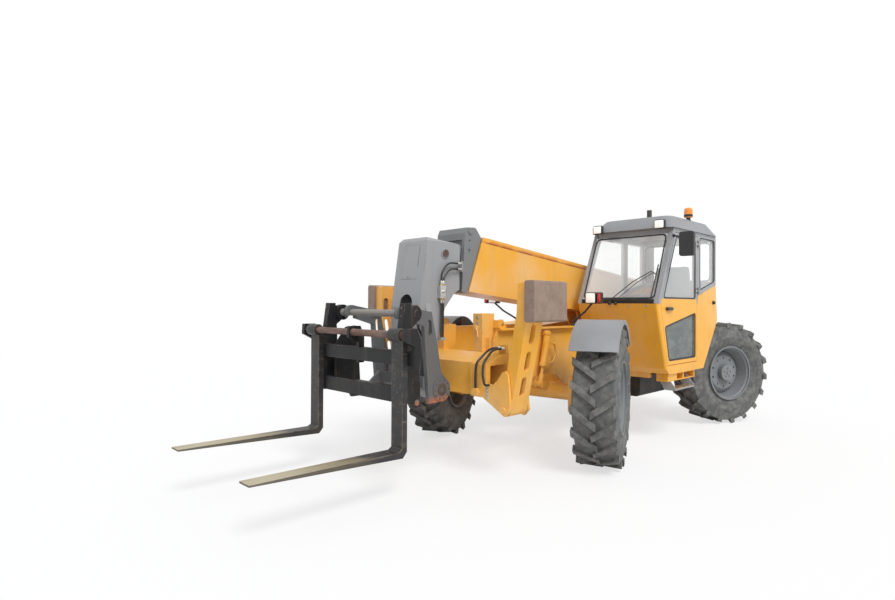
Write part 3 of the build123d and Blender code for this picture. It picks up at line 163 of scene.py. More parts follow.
def castSteel(name, colour, rough=0.6, rust=0.4, metal=0.3, polish=0.0, rusty=(0.20, 0.085, 0.04), pits=6.0):
    # Bare or thinly painted steel: blotches, rust and rubbed bright edges
    s = Shader(name)
    blot = s.noise(pits, 7.0, 0.65)
    fine = s.noise(pits * 6, 5.0, 0.6, shift=(2.0, 1.0, 0.3))
    grain = s.noise(120.0, 3.0, 0.6)
    edge = s.edges(0.008)
    body = s.mix(blot.step(0.35, 0.65) * 0.6, colour, tuple(c * 0.68 for c in colour))
    body = s.mix(blot.step(0.5, 0.66) * rust, body, rusty)
    body = s.mix(fine.step(0.58, 0.72) * 0.5, body, tuple(min(1.0, c * 1.45 + 0.03) for c in colour))
    body = s.mix((edge * grain.step(0.35, 0.6)) * (0.4 + polish), body, (0.36, 0.34, 0.32))
    normal = s.bump(grain * 0.3 + fine * 0.5 + blot * 0.3, 0.0012, 0.5)
    return s.finish(Base_Color=body, Roughness=grain * 0.2 + (rough - 0.1), Metallic=metal, Normal=normal)


def bladeSteel(name, black=(0.020, 0.020, 0.022), worn=(0.36, 0.29, 0.18), tip=(0.50, 0.44, 0.31)):
    # A fork: black paint on the shank and sides, scraped to pale steel on the upper face towards the tip
    s = Shader(name)
    away = 1.0 - s.along("Y").step(-3.30, -2.35)  # 0 at the heel, 1 at the tip
    facing = s.add("ShaderNodeTexCoord", output="Normal")
    upward = s.add("ShaderNodeSeparateXYZ", {}, {0: facing}, "Z").step(0.5, 0.8)
    blade = (1.0 - s.along("Z").step(0.33, 0.52)) * (1.0 - s.along("Y").step(-2.60, -2.35))
    drag = s.noise(14.0, 6.0, 0.66, stretch=(3.0, 0.18, 3.0))
    blot = s.noise(8.0, 6.0, 0.62)
    grain = s.noise(150.0, 3.0, 0.6)
    edge = s.edges(0.010)
    rubbed = (blade * 0.40 + away * 0.75 + drag - 0.55).step(0.28, 0.62) * (upward * 0.82 + 0.18)
    rubbed = rubbed.most(edge * blot.step(0.42, 0.56) * 0.7)
    body = s.mix(blot.step(0.45, 0.7) * 0.5, black, (0.060, 0.050, 0.042))
    body = s.mix(drag.step(0.57, 0.70) * 0.55, body, (0.21, 0.175, 0.13))
    metal = s.mix(away.step(0.3, 0.95), worn, tip)
    metal = s.mix(drag.step(0.5, 0.66) * 0.45, metal, (0.20, 0.145, 0.085))
    body = s.mix(rubbed, body, metal)
    normal = s.bump(grain * 0.3 + drag * 0.7, 0.001, 0.5)
    return s.finish(Base_Color=body, Roughness=grain * 0.15 + 0.42, Metallic=rubbed * 0.35, Normal=normal)


def rubberTread(name, colour, dust=0.55):
    # Tyre rubber: dry mud in the grooves, paler rubbed lugs and a fine grain
    s = Shader(name)
    cloud = s.noise(2.6, 6.0, 0.6)
    grain = s.noise(180.0, 2.0, 0.6)
    scuff = s.noise(13.0, 6.0, 0.68, shift=(1.0, 2.0, 0.5))
    edge = s.edges(0.014)
    body = s.mix(cloud.step(0.4, 0.65), colour, tuple(c * 1.35 for c in colour))
    body = s.mix(scuff.step(0.42, 0.68) * dust, body, (0.265, 0.255, 0.235))
    body = s.mix(edge * scuff.step(0.35, 0.6) * 0.35, body, (0.20, 0.20, 0.195))
    normal = s.bump(grain * 0.3 + scuff * 0.7, 0.0015, 0.55)
    return s.finish(Base_Color=body, Roughness=grain * 0.1 + 0.7, Normal=normal)


def plainPlastic(name, colour, rough=0.5, grit=300.0, fade=0.3, depth=0.0006):
    # Moulded plastic or vinyl: a fine grain and a cloudy bloom
    s = Shader(name)
    cloud = s.noise(4.0, 5.0, 0.6)
    grain = s.noise(grit, 2.0, 0.6)
    spot = s.noise(38.0, 3.0, 0.6)
    body = s.mix(cloud.step(0.4, 0.7) * fade, colour, tuple(min(1.0, c * 1.25 + 0.04) for c in colour))
    body = s.mix(grain.step(0.55, 0.7) * 0.12, body, tuple(c * 0.6 for c in colour))
    body = s.mix(spot.step(0.68, 0.74) * 0.4, body, (0.40, 0.37, 0.33))
    return s.finish(Base_Color=body, Roughness=cloud * 0.2 + (rough - 0.1), Normal=s.bump(grain, depth, 0.5))


def polishedRod(name, colour=(0.72, 0.72, 0.73), smeared=(0.42, 0.40, 0.36), rough=0.10):
    # Chromed or plated steel with oily smears
    s = Shader(name)
    smear = s.noise(14.0, 4.0, 0.6)
    body = s.mix(smear.step(0.45, 0.7) * 0.5, colour, smeared)
    return s.finish(Base_Color=body, Metallic=1.0, Roughness=smear * 0.18 + rough)


def clearGlass(name, paintedGlare, shadeAndScratches=None):
    # Clear to look through, under a pale layer of painted sky reflection and real dust that thickens at a slant and
    # carries a faint painted glow. The first function gives that layer's weight and the second, if any, the share that
    # is a dark sheet of painted shade with paler scratches
    s = Shader(name)
    dust = s.noise(5.0, 6.0, 0.65)
    clear = s.add("ShaderNodeBsdfTransparent", {}, {"Color": (0.988, 0.994, 0.992)})
    # Painted sky reflection: a pale tone, duller where dust lies, in a layer that thickens at a slant and where dust
    # lies
    smear = s.mix(dust.step(0.4, 0.7), (0.95, 0.96, 0.97), (0.86, 0.87, 0.86))
    slant = s.add("ShaderNodeLayerWeight", {}, {"Blend": 0.25}, "Fresnel")
    weight = slant * 0.30 + dust.step(0.45, 0.75) * 0.04 + paintedGlare(s)
    # The lower pane: a dark sheet of painted shade over the glass, with paler scratch lines
    if shadeAndScratches:
        lines = s.noise(7.0, 7.0, 0.7, stretch=(1.0, 0.6, 1.8))
        shadeAndScratchMask = shadeAndScratches(s)
        smear = s.mix(shadeAndScratchMask, smear, s.mix(lines.step(0.42, 0.66), (0.075, 0.090, 0.086), (0.150, 0.170, 0.165)))
        weight = weight + shadeAndScratchMask * 0.66
    # The pale base colour of this layer is painted reflection, and its emission is a faint painted glow
    glossGlareAndGlow = s.add("ShaderNodeBsdfPrincipled", {}, {"Base Color": smear, "Roughness": 0.05,
                                                   "Specular IOR Level": 0.6, "Emission Color": smear,
                                                   "Emission Strength": 0.35})
    mixed = s.add("ShaderNodeMixShader", {}, {0: weight, 1: clear, 2: glossGlareAndGlow})
    s.add("ShaderNodeOutputMaterial", {}, {"Surface": mixed}, None)
    return s.material


def lampLens(name, colour, glow=0.0, pale=0.6):
    # Moulded lens with fine upright flutes
    s = Shader(name)
    flute = s.add("ShaderNodeTexWave", {"wave_type": "BANDS", "bands_direction": "X"},
                  {"Vector": s.place, "Scale": 60.0, "Distortion": 0.3}, "Fac")
    cloud = s.noise(30.0, 3.0)
    body = s.mix(cloud.step(0.4, 0.7) * 0.3, colour, tuple(c * pale for c in colour))
    return s.finish(Base_Color=body, Roughness=0.12, Normal=s.bump(flute, 0.0012, 0.6), Coat_Weight=0.6,
                    Emission_Color=colour, Emission_Strength=glow)


axleLine = -0.325  # the front axle's Y; places below are measured back from it
boomMiddle = -0.180
boomAngle = math.radians(5.54)
screen = {"foot": 1.001, "height": 1.5355, "slope": 346 / 820}  # the windscreen's plane: back, up and rake
yellow = (0.85, 0.405, 0.035)
grey = (0.31, 0.315, 0.325)
waist = {"low": 1.541, "high": 1.543}  # where the door turns from yellow to grey
rustBand = {"pivotY": 3.395, "pivotZ": 1.470, "low": (0.221, 0.226), "high": (0.236, 0.262)}
# Weights of the painted sky reflection on the windscreen, the other panes and the door, and the top of the door's
# lower pane of painted shade
paneGlareAndShade = {"screen": 0.15, "panes": 0.04, "door": 0.04, "shadeAndScratchTop": (1.42, 1.46)}
forkShaft = {"y": -1.924, "z": 1.240, "radius": 0.030, "half": 0.676}
hookTube = {"y": -1.690, "z": 1.396, "radius": 0.032, "half": 0.48}


def doorTones(s):
    # Yellow below the waist, grey round the upper window
    return s.mix(s.along("Z").step(waist["low"], waist["high"]), yellow, grey)


def boomSeam(s):
    # A band along the boom under its top strip: height above the centre line between two limits
    rise, run = s.along("Z") - rustBand["pivotZ"], s.along("Y") - (axleLine + rustBand["pivotY"])
    height = rise * math.cos(boomAngle) + run * math.sin(boomAngle)
    return height.step(*rustBand["low"]) * (1.0 - height.step(*rustBand["high"]))


def cabPaintedGlare(s):
    # More painted sky reflection in the windscreen: the distance behind its sloping plane tells it from the other
    # panes
    behind = s.along("Y") - axleLine - screen["foot"] - (s.along("Z") - screen["height"]) * screen["slope"]
    return paneGlareAndShade["screen"] - behind.step(0.03, 0.06) * (paneGlareAndShade["screen"] - paneGlareAndShade["panes"])


def nearTube(s, y, z, radius, half):
    # 1 within radius of a level tube that runs across, by the root of the squared distances, and within
    # half its length of the boom's middle
    aside, above = s.along("Y") - (axleLine + y), s.along("Z") - z
    away, across = (aside * aside + above * above).root(), (s.along("X") - boomMiddle).size()
    return (1.0 - away.step(radius, radius + 0.004)) * (1.0 - across.step(half, half + 0.002))


def doorPaintedGlare(s):
    # The same thin painted sky reflection all over the door's panes
    return s.along("Z").step(0.0, 0.1) * paneGlareAndShade["door"]


def kickShadeAndScratches(s):
    # The door's lower pane: a dark sheet of painted shade for the dim cab behind it, with paler scratches
    return 1.0 - s.along("Z").step(*paneGlareAndShade["shadeAndScratchTop"])


def hitchFoot(s):
    # The lowest edge of the hitch plates is bare and rusty
    return (1.0 - s.along("Z").step(0.645, 0.70)) * 0.8


def carriageTones(s):
    # Black, with the bare fork shaft rusty brown and the hook tube rubbed to pale steel
    blot = s.noise(16.0, 5.0, 0.6, stretch=(0.3, 1.0, 1.0))
    shaft = s.mix(blot.step(0.38, 0.62), (0.105, 0.050, 0.038), (0.215, 0.135, 0.105))
    body = s.mix(nearTube(s, **forkShaft), (0.011, 0.0115, 0.013), shaft)
    return s.mix(nearTube(s, **hookTube), body, (0.25, 0.23, 0.21))


materials = {
    "yellow_paint": wornPaint("yellow paint", yellow, 0.38, dust=0.30, rust=0.22, chip=0.34),
    "grey_paint": wornPaint("grey paint", grey, 0.45, dust=0.22, rust=0.12, chip=0.45, fade=0.12,
                            pale=(0.45, 0.45, 0.45)),
    "black_paint": wornPaint("black paint", (0.012, 0.0125, 0.014), 0.44, dust=0.30, rust=0.30, chip=0.75,
                             under=(0.085, 0.08, 0.075), fade=0.06, pale=(0.15, 0.15, 0.15), shine=0.3),
    "rim_paint": wornPaint("rim paint", (0.17, 0.185, 0.195), 0.55, dust=0.5, rust=0.15, chip=0.3, fade=0.15,
                           pale=(0.4, 0.4, 0.4), dirt=(0.24, 0.22, 0.19)),
    "dark_steel": castSteel("dark steel", (0.075, 0.07, 0.065), 0.62, rust=0.35),
    "worn_steel": castSteel("worn steel", (0.30, 0.215, 0.165), 0.62, rust=0.35, metal=0.15, polish=0.2,
                            rusty=(0.22, 0.125, 0.085), pits=9.0),
    "cast_grey": castSteel("cast grey", (0.12, 0.12, 0.125), 0.65, rust=0.2),
    "chrome": polishedRod("rod chrome"),
    "grey_plastic": plainPlastic("grey plastic", (0.245, 0.25, 0.262), 0.5),
    "black_plastic": plainPlastic("black plastic", (0.022, 0.022, 0.024), 0.42, fade=0.15),
    "cab_glass": clearGlass("cab glass", cabPaintedGlare),
    "lamp_glass": lampLens("lamp glass", (0.95, 0.92, 0.86), 0.35, 0.85),
    "amber_lens": lampLens("amber lens", (0.85, 0.27, 0.02), 0.15),
    "seat_vinyl": plainPlastic("seat vinyl", (0.055, 0.06, 0.062), 0.6, grit=220.0),
    "hose_rubber": plainPlastic("hose rubber", (0.018, 0.018, 0.019), 0.45, fade=0.15),
    "tyre": rubberTread("tyre rubber", (0.078, 0.081, 0.080)),
}
ownFinish = {
    "door": wornPaint("door paint", doorTones, 0.38, dust=0.25, rust=0.18, chip=0.3, fade=0.15),
    "boom_outer": wornPaint("boom paint", yellow, 0.34, dust=0.15, rust=0.12, chip=0.25, fade=0.35,
                            seam=boomSeam),
    "carriage": wornPaint("carriage paint", carriageTones, 0.44, dust=0.25, rust=0.30, chip=0.95,
                          under=(0.11, 0.085, 0.07), fade=0.05, pale=(0.12, 0.12, 0.12), shine=0.3),
    "hitch": wornPaint("hitch paint", (0.115, 0.12, 0.125), 0.5, dust=0.15, rust=0.30, chip=0.8, fade=0.15,
                       pale=(0.22, 0.22, 0.225), dirt=(0.17, 0.10, 0.06), seam=hitchFoot),
    "boom_mid": wornPaint("head paint", (0.185, 0.19, 0.195), 0.48, dust=0.1, rust=0.12, chip=0.4, fade=0.2,
                          pale=(0.36, 0.36, 0.365)),
    "fork_left": bladeSteel("fork steel"),
    "door_glass": clearGlass("door glass", doorPaintedGlare, kickShadeAndScratches),
}
ownFinish["fork_right"] = ownFinish["fork_left"]
trim = {
    "seal": plainPlastic("seal rubber", (0.012, 0.012, 0.013), 0.55, fade=0.1),
    "plated": polishedRod("plated steel", (0.62, 0.62, 0.60), (0.36, 0.34, 0.30), 0.28),
    "brass": polishedRod("brass fittings", (0.62, 0.44, 0.17), (0.35, 0.24, 0.10), 0.25),
    "red": lampLens("red lens", (0.62, 0.015, 0.02), 0.10, 0.6),
    "mirror": polishedRod("mirror glass", (0.82, 0.84, 0.85), (0.7, 0.72, 0.73), 0.02),
    "rusty": castSteel("rusty steel", (0.105, 0.075, 0.06), 0.7, rust=0.6, metal=0.2, rusty=(0.12, 0.06, 0.035)),
}
print("materials made:", len(materials) + len(ownFinish) - 1 + len(trim))

slotOf = {part["node"]: part["material_slot"] for part in frame["record"]["subparts"]}
for name, node in nodes.items():
    node.data.materials.clear()
    node.data.materials.append(ownFinish.get(name, materials[slotOf[name]]))

# Rounding of each node's edges, mm
softEdge = {"main_frame": 3, "front_frame": 3, "boom_outer": 5, "boom_mid": 4, "boom_inner": 7, "cab_shell": 8,
            "cab_frame": 6, "door": 5, "hitch": 4, "carriage": 4, "fork_left": 6, "fork_right": 6,
            "tail_weight": 10, "step": 2, "stabilizer_arm_left": 3, "stabilizer_arm_right": 3, "fluid_tank": 4,
            "cab_roof": 22, "engine_hood": 6, "fender_front_left": 2, "fender_front_right": 2, "mirror": 8,
            "stabilizer_sole_left": 5, "stabilizer_sole_right": 5, "head_pads": 3, "levelling_cylinder": 2,
            "tyre_front_left": 7, "tyre_front_right": 7, "tyre_rear_left": 7, "tyre_rear_right": 7}


def roundEdges(node, millimetres):
    # Joins the loose triangles, clears the flat ones and rounds what is sharp
    weld = node.modifiers.new("weld", "WELD")
    weld.merge_threshold = 0.00003
    flat = node.modifiers.new("flat", "DECIMATE")
    flat.decimate_type = "DISSOLVE"
    flat.angle_limit = math.radians(0.8)
    bevel = node.modifiers.new("bevel", "BEVEL")
    bevel.width = millimetres / 1000
    bevel.limit_method = "ANGLE"
    bevel.angle_limit = math.radians(32)
    bevel.segments = 2
    bevel.miter_outer = "MITER_ARC"
    bevel.harden_normals = True


for name, size in softEdge.items():
    roundEdges(nodes[name], size)


def back(x, y, z):
    # A place in metres whose y is measured back from the front axle
    return np.array([x, axleLine + y, z])


def gridFaces(rows, columns, aroundRows=False, aroundColumns=True):
    # Quads between neighbours of a grid of points, closed round the ways that are asked for
    i = np.arange(rows if aroundRows else rows - 1)[:, None]
    j = np.arange(columns if aroundColumns else columns - 1)[None, :]
    a, b = (i % rows) * columns, ((i + 1) % rows) * columns
    c, d = j % columns, (j + 1) % columns
    return np.stack([a + c, a + d, b + d, b + c], axis=-1).reshape(-1, 4)


def turned(start, axis, profile, sides=20):
    # Lathe work: each row of the profile is (along, radius), swept round an axis by cosine and sine
    axis = np.array(axis, float) / np.linalg.norm(axis)
    first = np.cross(axis, (0.3, 0.2, 0.9) if abs(axis[2]) < 0.9 else (1.0, 0.0, 0.0))
    first = first / np.linalg.norm(first)
    second = np.cross(axis, first)
    profile = np.array(profile, float)
    angle = np.linspace(0, 2 * np.pi, sides, endpoint=False)
    ring = first * np.cos(angle)[:, None] + second * np.sin(angle)[:, None]
    points = np.array(start) + axis * profile[:, 0, None, None] + ring[None] * profile[:, 1, None, None]
    return points.reshape(-1, 3), gridFaces(len(profile), sides)


def carried(path, facing, profile, closed=False, ends=True):
    # A profile carried along a path: each section's point is path + side * u + front * v, where side is
    # the path's direction crossed with the facing direction
    path, profile = np.array(path, float), np.array(profile, float)
    if closed:
        ahead = np.roll(path, -1, axis=0) - np.roll(path, 1, axis=0)
    else:
        ahead = np.gradient(path, axis=0)
        if ends:
            path = np.concatenate([path[:1], path, path[-1:]])
            ahead = np.concatenate([ahead[:1], ahead, ahead[-1:]])
    ahead = ahead / np.linalg.norm(ahead, axis=1)[:, None]
    across = np.cross(ahead, np.array(facing, float))
    across = across / np.linalg.norm(across, axis=1)[:, None]
    front = np.cross(across, ahead)
    size = np.ones(len(path))
    if ends and not closed:
        size[[0, -1]] = 0.0
    points = path[:, None] + (across[:, None] * profile[None, :, :1] + front[:, None] * profile[None, :, 1:]) * (
        size[:, None, None])
    return points.reshape(-1, 3), gridFaces(len(path), len(profile), aroundRows=closed)


def disc(radius, sides=8, flat=1.0):
    # A round or flattened profile: radius times cosine and sine, the second one scaled
    angle = np.linspace(0, 2 * np.pi, sides, endpoint=False)
    return np.stack([np.cos(angle) * radius, np.sin(angle) * radius * flat], axis=1)


def rounded(points, radius, steps=5):
    # A closed outline whose corners follow the curve (1-t)^2 a + 2t(1-t) corner + t^2 b
    points = np.array(points, float)
    toward = np.roll(points, 1, axis=0) - points
    onward = np.roll(points, -1, axis=0) - points
    a = points + toward / np.linalg.norm(toward, axis=1)[:, None] * radius
    b = points + onward / np.linalg.norm(onward, axis=1)[:, None] * radius
    t = np.linspace(0, 1, steps)[None, :, None]
    curve = (1 - t) ** 2 * a[:, None] + 2 * t * (1 - t) * points[:, None] + t ** 2 * b[:, None]
    return curve.reshape(-1, points.shape[1])


def roundBox(low, high, radius, shape=None, fine=3):
    # A box with rounded edges between two corners measured back from the axle: a point of its shell is an
    # inner box's nearest point plus radius times the direction out of it; shape then moves all the points
    low, high = back(*low), back(*high)
    points, faces, count = [], [], 0
    turn = np.sin(np.linspace(0, 1, fine + 1) * np.pi / 2)
    for axis in range(3):
        u, v = (axis + 1) % 3, (axis + 2) % 3
        spans = []
        for way in (u, v):
            edge = turn * radius
            middle = np.linspace(low[way] + radius, high[way] - radius, 9 if shape else 2)[1:-1]
            spans.append(np.concatenate([low[way] + edge, middle, (high[way] - edge)[::-1]]))
        gridU, gridV = np.meshgrid(*spans, indexing="ij")
        for end in (low, high):
            shell = np.empty(gridU.shape + (3,))
            shell[..., u], shell[..., v], shell[..., axis] = gridU, gridV, end[axis]
            inner = np.clip(shell, low + radius, high - radius)
            out = shell - inner
            place = inner + out / np.maximum(np.linalg.norm(out, axis=-1), 1e-9)[..., None] * radius
            quads = gridFaces(len(spans[0]), len(spans[1]), aroundColumns=False)
            if end is low:
                quads = quads[:, ::-1]
            points.append(place.reshape(-1, 3))
            faces.append(quads + count)
            count += place.size // 3
    points = np.concatenate(points)
    return (shape(points) if shape else points), np.concatenate(faces)


def hexBolt(place, out, radius=0.009, height=0.007):
    # A washer and a six-sided head with a chamfer
    place, out = np.array(place, float), np.array(out, float)
    washer = turned(place, out, [(-0.002, 0), (-0.002, radius * 1.5), (0.0012, radius * 1.5), (0.0012, 0)], 10)
    head = turned(place, out, [(0, 0), (0, radius), (height * 0.8, radius), (height, radius * 0.82), (height, 0)], 6)
    return [washer, head]


def piece(name, shells, material, body, crease=40.0):
    # Joins shells of points and quads into one mesh, closes its poles and turns its faces outwards
    points = np.concatenate([shell[0] for shell in shells])
    starts = np.cumsum([0] + [len(shell[0]) for shell in shells[:-1]])
    faces = np.concatenate([shell[1] + start for shell, start in zip(shells, starts)])
    mesh = bpy.data.meshes.new(name)
    mesh.from_pydata(points.tolist(), [], faces.tolist())
    tidy = bmesh.new()
    tidy.from_mesh(mesh)
    bmesh.ops.remove_doubles(tidy, verts=tidy.verts, dist=0.00002)
    bmesh.ops.recalc_face_normals(tidy, faces=tidy.faces)
    tidy.to_mesh(mesh)
    tidy.free()
    mesh.polygons.foreach_set("use_smooth", np.ones(len(mesh.polygons), bool))
    mesh.set_sharp_from_angle(angle=math.radians(crease))
    mesh.materials.append(material)
    made = bpy.data.objects.new(name, mesh)
    scene.collection.objects.link(made)
    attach(made, body)
    return made


# Window and door seals: a flattened bead round each opening, and one broad band under the windscreen
seal = {"width": 0.015, "height": 0.009, "corner": 0.030, "screen": 0.009, "rear": 0.010, "flat": 0.7, "bend": 0.05,
        "sunk": 0.002, "rearFace": 2.522, "bandLow": (0.192, 0.9745, 1.492), "bandHigh": (1.038, 0.9795, 1.538)}
cabSide = {"left": 1.090, "right": 0.140}
sideWindows = {  # outline of each hole as (back from the axle, up)
    "quarter": [(2.055, 1.655), (2.495, 1.765), (2.495, 2.255), (2.055, 2.255)],
    "right": [(1.061, 1.540), (1.990, 1.540), (1.990, 2.255), (1.407, 2.255)],
    "upper": [(1.100, 1.552), (1.920, 1.552), (1.920, 2.215), (1.412, 2.215)],
    "kick": [(1.136, 1.245), (1.921, 1.384), (1.921, 0.887), (1.232, 0.887)],
}
screenEdge = [(0.198, 1.548), (1.032, 1.548), (1.032, 2.238), (0.198, 2.238)]  # (across, up)
rearEdge = [(0.200, 1.775), (1.030, 1.775), (1.030, 2.240), (0.200, 2.240)]
screenOut = (0, -1, screen["slope"])


def onScreen(x, z, proud=0.0):
    # A point of the windscreen's outer face: its foot plus the height above it times the slope, less proud
    return back(x, screen["foot"] + (z - screen["height"]) * screen["slope"] - proud, z)


def sideSeal(outline, x, out):
    # A bead round an opening of a side wall
    path = [back(x, y, z) for y, z in rounded(outline, seal["corner"])]
    return carried(path, (out, 0, 0), disc(seal["width"] / 2, 8, seal["height"] / seal["width"]), closed=True)


screenPath = [onScreen(x, z, seal["sunk"]) for x, z in rounded(screenEdge, seal["bend"])]
rearPath = [back(x, seal["rearFace"], z) for x, z in rounded(rearEdge, seal["bend"])]
cabSeals = [roundBox(seal["bandLow"], seal["bandHigh"], 0.002),
            carried(screenPath, screenOut, disc(seal["screen"], 8, seal["flat"]), closed=True),
            carried(rearPath, (0, 1, 0), disc(seal["rear"], 8, seal["flat"]), closed=True),
            sideSeal(sideWindows["quarter"], cabSide["left"], 1),
            sideSeal(sideWindows["quarter"], cabSide["right"], -1),
            sideSeal(sideWindows["right"], cabSide["right"], -1)]
piece("window_seals", cabSeals, trim["seal"], "chassis")
doorSeals = [sideSeal(sideWindows[hole], cabSide["left"], 1) for hole in ("upper", "kick")]
piece("door_seals", doorSeals, trim["seal"], "door")
print("seals made")

# Door handle and latch: each lathe profile is (along, radius)
handle = {"low": (1.086, 1.144, 1.419), "high": (1.124, 1.276, 1.453), "edge": 0.012, "latch": (1.090, 1.290, 1.436)}
latchShape = [(0, 0), (0, 0.016), (0.012, 0.016), (0.016, 0.012), (0.016, 0)]
piece("door_handle", [roundBox(handle["low"], handle["high"], handle["edge"]),
                      turned(back(*handle["latch"]), (1, 0, 0), latchShape)],
      materials["black_plastic"], "door")

# Lock knob of the quarter window
knob = {"y": 2.459, "z": 1.508}
knobShape = [(-0.002, 0), (-0.002, 0.024), (0.006, 0.024), (0.008, 0.017), (0.020, 0.020), (0.026, 0.015), (0.026, 0)]
piece("quarter_knob", [turned(back(cabSide["left"], knob["y"], knob["z"]), (1, 0, 0), knobShape)],
      materials["black_plastic"], "chassis")

# Mirror glass, on the rear face of its shell
mirrorGlass = {"low": (1.245, 1.174, 1.990), "high": (1.375, 1.179, 2.220), "edge": 0.002}
piece("mirror_glass", [roundBox(mirrorGlass["low"], mirrorGlass["high"], mirrorGlass["edge"])], trim["mirror"],
      "chassis")

# Wipers: an arm and a link from pivots under the screen to a blade parked at the left pillar
wiper = {"arm": 0.0055, "link": 0.004, "proud": 0.028, "blade": 0.007, "bladeProud": 0.013, "footY": 0.958,
         "bladeTop": (1.012, 1.905), "bladeFoot": (1.000, 1.560), "meet": (1.006, 1.800)}
wiperRods = [((0.548, 1.487), (0.953, 1.835), wiper["arm"]), ((0.618, 1.487), (0.985, 1.822), wiper["link"])]
pivotShape = [(0, 0), (0, 0.012), (0.012, 0.017), (0.03, 0.017), (0.03, 0)]
wiperShells = []
for (x, z), (topX, topZ), size in wiperRods:
    knee = (x + (topX - x) * 0.55, z + (topZ - z) * 0.68)
    foot = back(x, wiper["footY"], z)
    route = [foot, onScreen(x + 0.02, z + 0.05, wiper["proud"] + 0.02), onScreen(*knee, wiper["proud"] + 0.006),
             onScreen(topX, topZ, wiper["proud"]), onScreen(*wiper["meet"], wiper["proud"] - 0.010)]
    wiperShells.append(carried(route, screenOut, disc(size, 6)))
    wiperShells.append(turned(foot - (0, 0.018, 0), (0, 1, 0.25), pivotShape, 14))
(topX, topZ), (footX, footZ) = wiper["bladeTop"], wiper["bladeFoot"]
bladePath = [onScreen(topX + (footX - topX) * t, topZ + (footZ - topZ) * t, wiper["bladeProud"]) for t in (0, 0.5, 1)]
wiperShells.append(carried(bladePath, screenOut, disc(wiper["blade"], 6, 0.9)))
piece("wipers", wiperShells, materials["black_plastic"], "chassis")

# Box of the sun visor behind the windscreen's head
visor = {"low": (0.33, 1.325, 2.212), "high": (0.47, 1.372, 2.256), "edge": 0.010}
piece("visor_box", [roundBox(visor["low"], visor["high"], visor["edge"])], materials["black_plastic"], "chassis")
print("cab trim made")

# Lamps: black shells with rims, white and red lenses, on stalks, on the roof and at the tail
lampSizes = {"rim": 0.006, "dome": 0.010, "inset": 0.002, "half": 0.006, "edge": 0.0055}
roadLamp = {"stands": [(0.600, 1), (-0.800, -1)],  # middle across, the side that its red lens is on
            "reach": 0.095, "split": 0.036, "gap": 0.006, "white": 0.090, "red": 0.050, "back": 0.525, "face": 0.531,
            "low": 1.486, "high": 1.604, "middle": 1.545, "lens": 0.052, "edge": 0.016, "stalk": 0.011,
            "foot": (0.368, 0.520, 1.251), "top": (0.035, 0.570, 1.492)}
stalkFoot = [(0, 0), (0, 0.022), (0.018, 0.022), (0.024, 0.014), (0.024, 0)]
roofLamp = {"across": (0.250, 0.990), "half": 0.060, "front": 1.204, "rear": 1.2547, "low": 2.292, "high": 2.393,
            "edge": 0.018, "face": 1.206, "middle": 2.3425, "lens": (0.052, 0.043)}
tailLamp = {"across": (0.330, -0.420), "wide": 0.090, "front": 3.655, "rear": 3.690, "low": 1.1203, "high": 1.199,
            "edge": 0.008, "face": 3.688, "middle": 1.160, "lens": (0.038, 0.032)}
shells, whites, reds = [], [], []


def lampFace(centreX, y, centreZ, halfX, halfZ, out, lenses):
    # A rim round the face and a lens crowned by (1-u^2)(1-v^2)
    corners = [(centreX - halfX, centreZ - halfZ), (centreX + halfX, centreZ - halfZ),
               (centreX + halfX, centreZ + halfZ), (centreX - halfX, centreZ + halfZ)]
    path = [back(x, y, z) for x, z in rounded(corners, min(halfX, halfZ) * 0.45)]
    shells.append(carried(path, (0, out, 0), disc(lampSizes["rim"], 8), closed=True))

    def crown(points):
        u = np.clip((points[:, 0] - centreX) / halfX, -1, 1)
        v = np.clip((points[:, 2] - centreZ) / halfZ, -1, 1)
        points[:, 1] += out * lampSizes["dome"] * (1 - u ** 2) * (1 - v ** 2)
        return points

    inX, inZ, half = halfX - lampSizes["inset"], halfZ - lampSizes["inset"], lampSizes["half"]
    lenses.append(roundBox((centreX - inX, y - half, centreZ - inZ), (centreX + inX, y + half, centreZ + inZ),
                           lampSizes["edge"], crown))


for middle, way in roadLamp["stands"]:
    split = middle + way * roadLamp["split"]
    gap = way * roadLamp["gap"]
    for first, second, depth, lenses in ((middle - way * roadLamp["reach"], split - gap, roadLamp["white"], whites),
                                         (split + gap, middle + way * roadLamp["reach"], roadLamp["red"], reds)):
        low, high = sorted((first, second))
        shells.append(roundBox((low, roadLamp["face"], roadLamp["low"]),
                               (high, roadLamp["back"] + depth, roadLamp["high"]), roadLamp["edge"]))
        lampFace((low + high) / 2, roadLamp["face"], roadLamp["middle"], (high - low) / 2 - lampSizes["rim"],
                 roadLamp["lens"], -1, lenses)
    footX, footY, footZ = roadLamp["foot"]
    topX, topY, topZ = roadLamp["top"]
    foot, top = back(math.copysign(footX, middle), footY, footZ), back(middle - way * topX, topY, topZ)
    rise = top - foot
    route = [foot, foot + (0, 0, 0.03), foot + rise * (0.12, 0.12, 0.28), foot + rise * 0.62, top]
    shells.append(carried(route, (0, -1, 0), disc(roadLamp["stalk"], 10)))
    shells.append(turned(foot, (0, 0, 1), stalkFoot))
for x in roofLamp["across"]:
    shells.append(roundBox((x - roofLamp["half"], roofLamp["front"], roofLamp["low"]),
                           (x + roofLamp["half"], roofLamp["rear"], roofLamp["high"]), roofLamp["edge"]))
    lampFace(x, roofLamp["face"], roofLamp["middle"], *roofLamp["lens"], -1, whites)
for x in tailLamp["across"]:
    shells.append(roundBox((x, tailLamp["front"], tailLamp["low"]),
                           (x + tailLamp["wide"], tailLamp["rear"], tailLamp["high"]), tailLamp["edge"]))
    lampFace(x + tailLamp["wide"] / 2, tailLamp["face"], tailLamp["middle"], *tailLamp["lens"], 1, reds)
lampShells = piece("lamp_shells", shells, materials["black_plastic"], "chassis")
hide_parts("lamps")
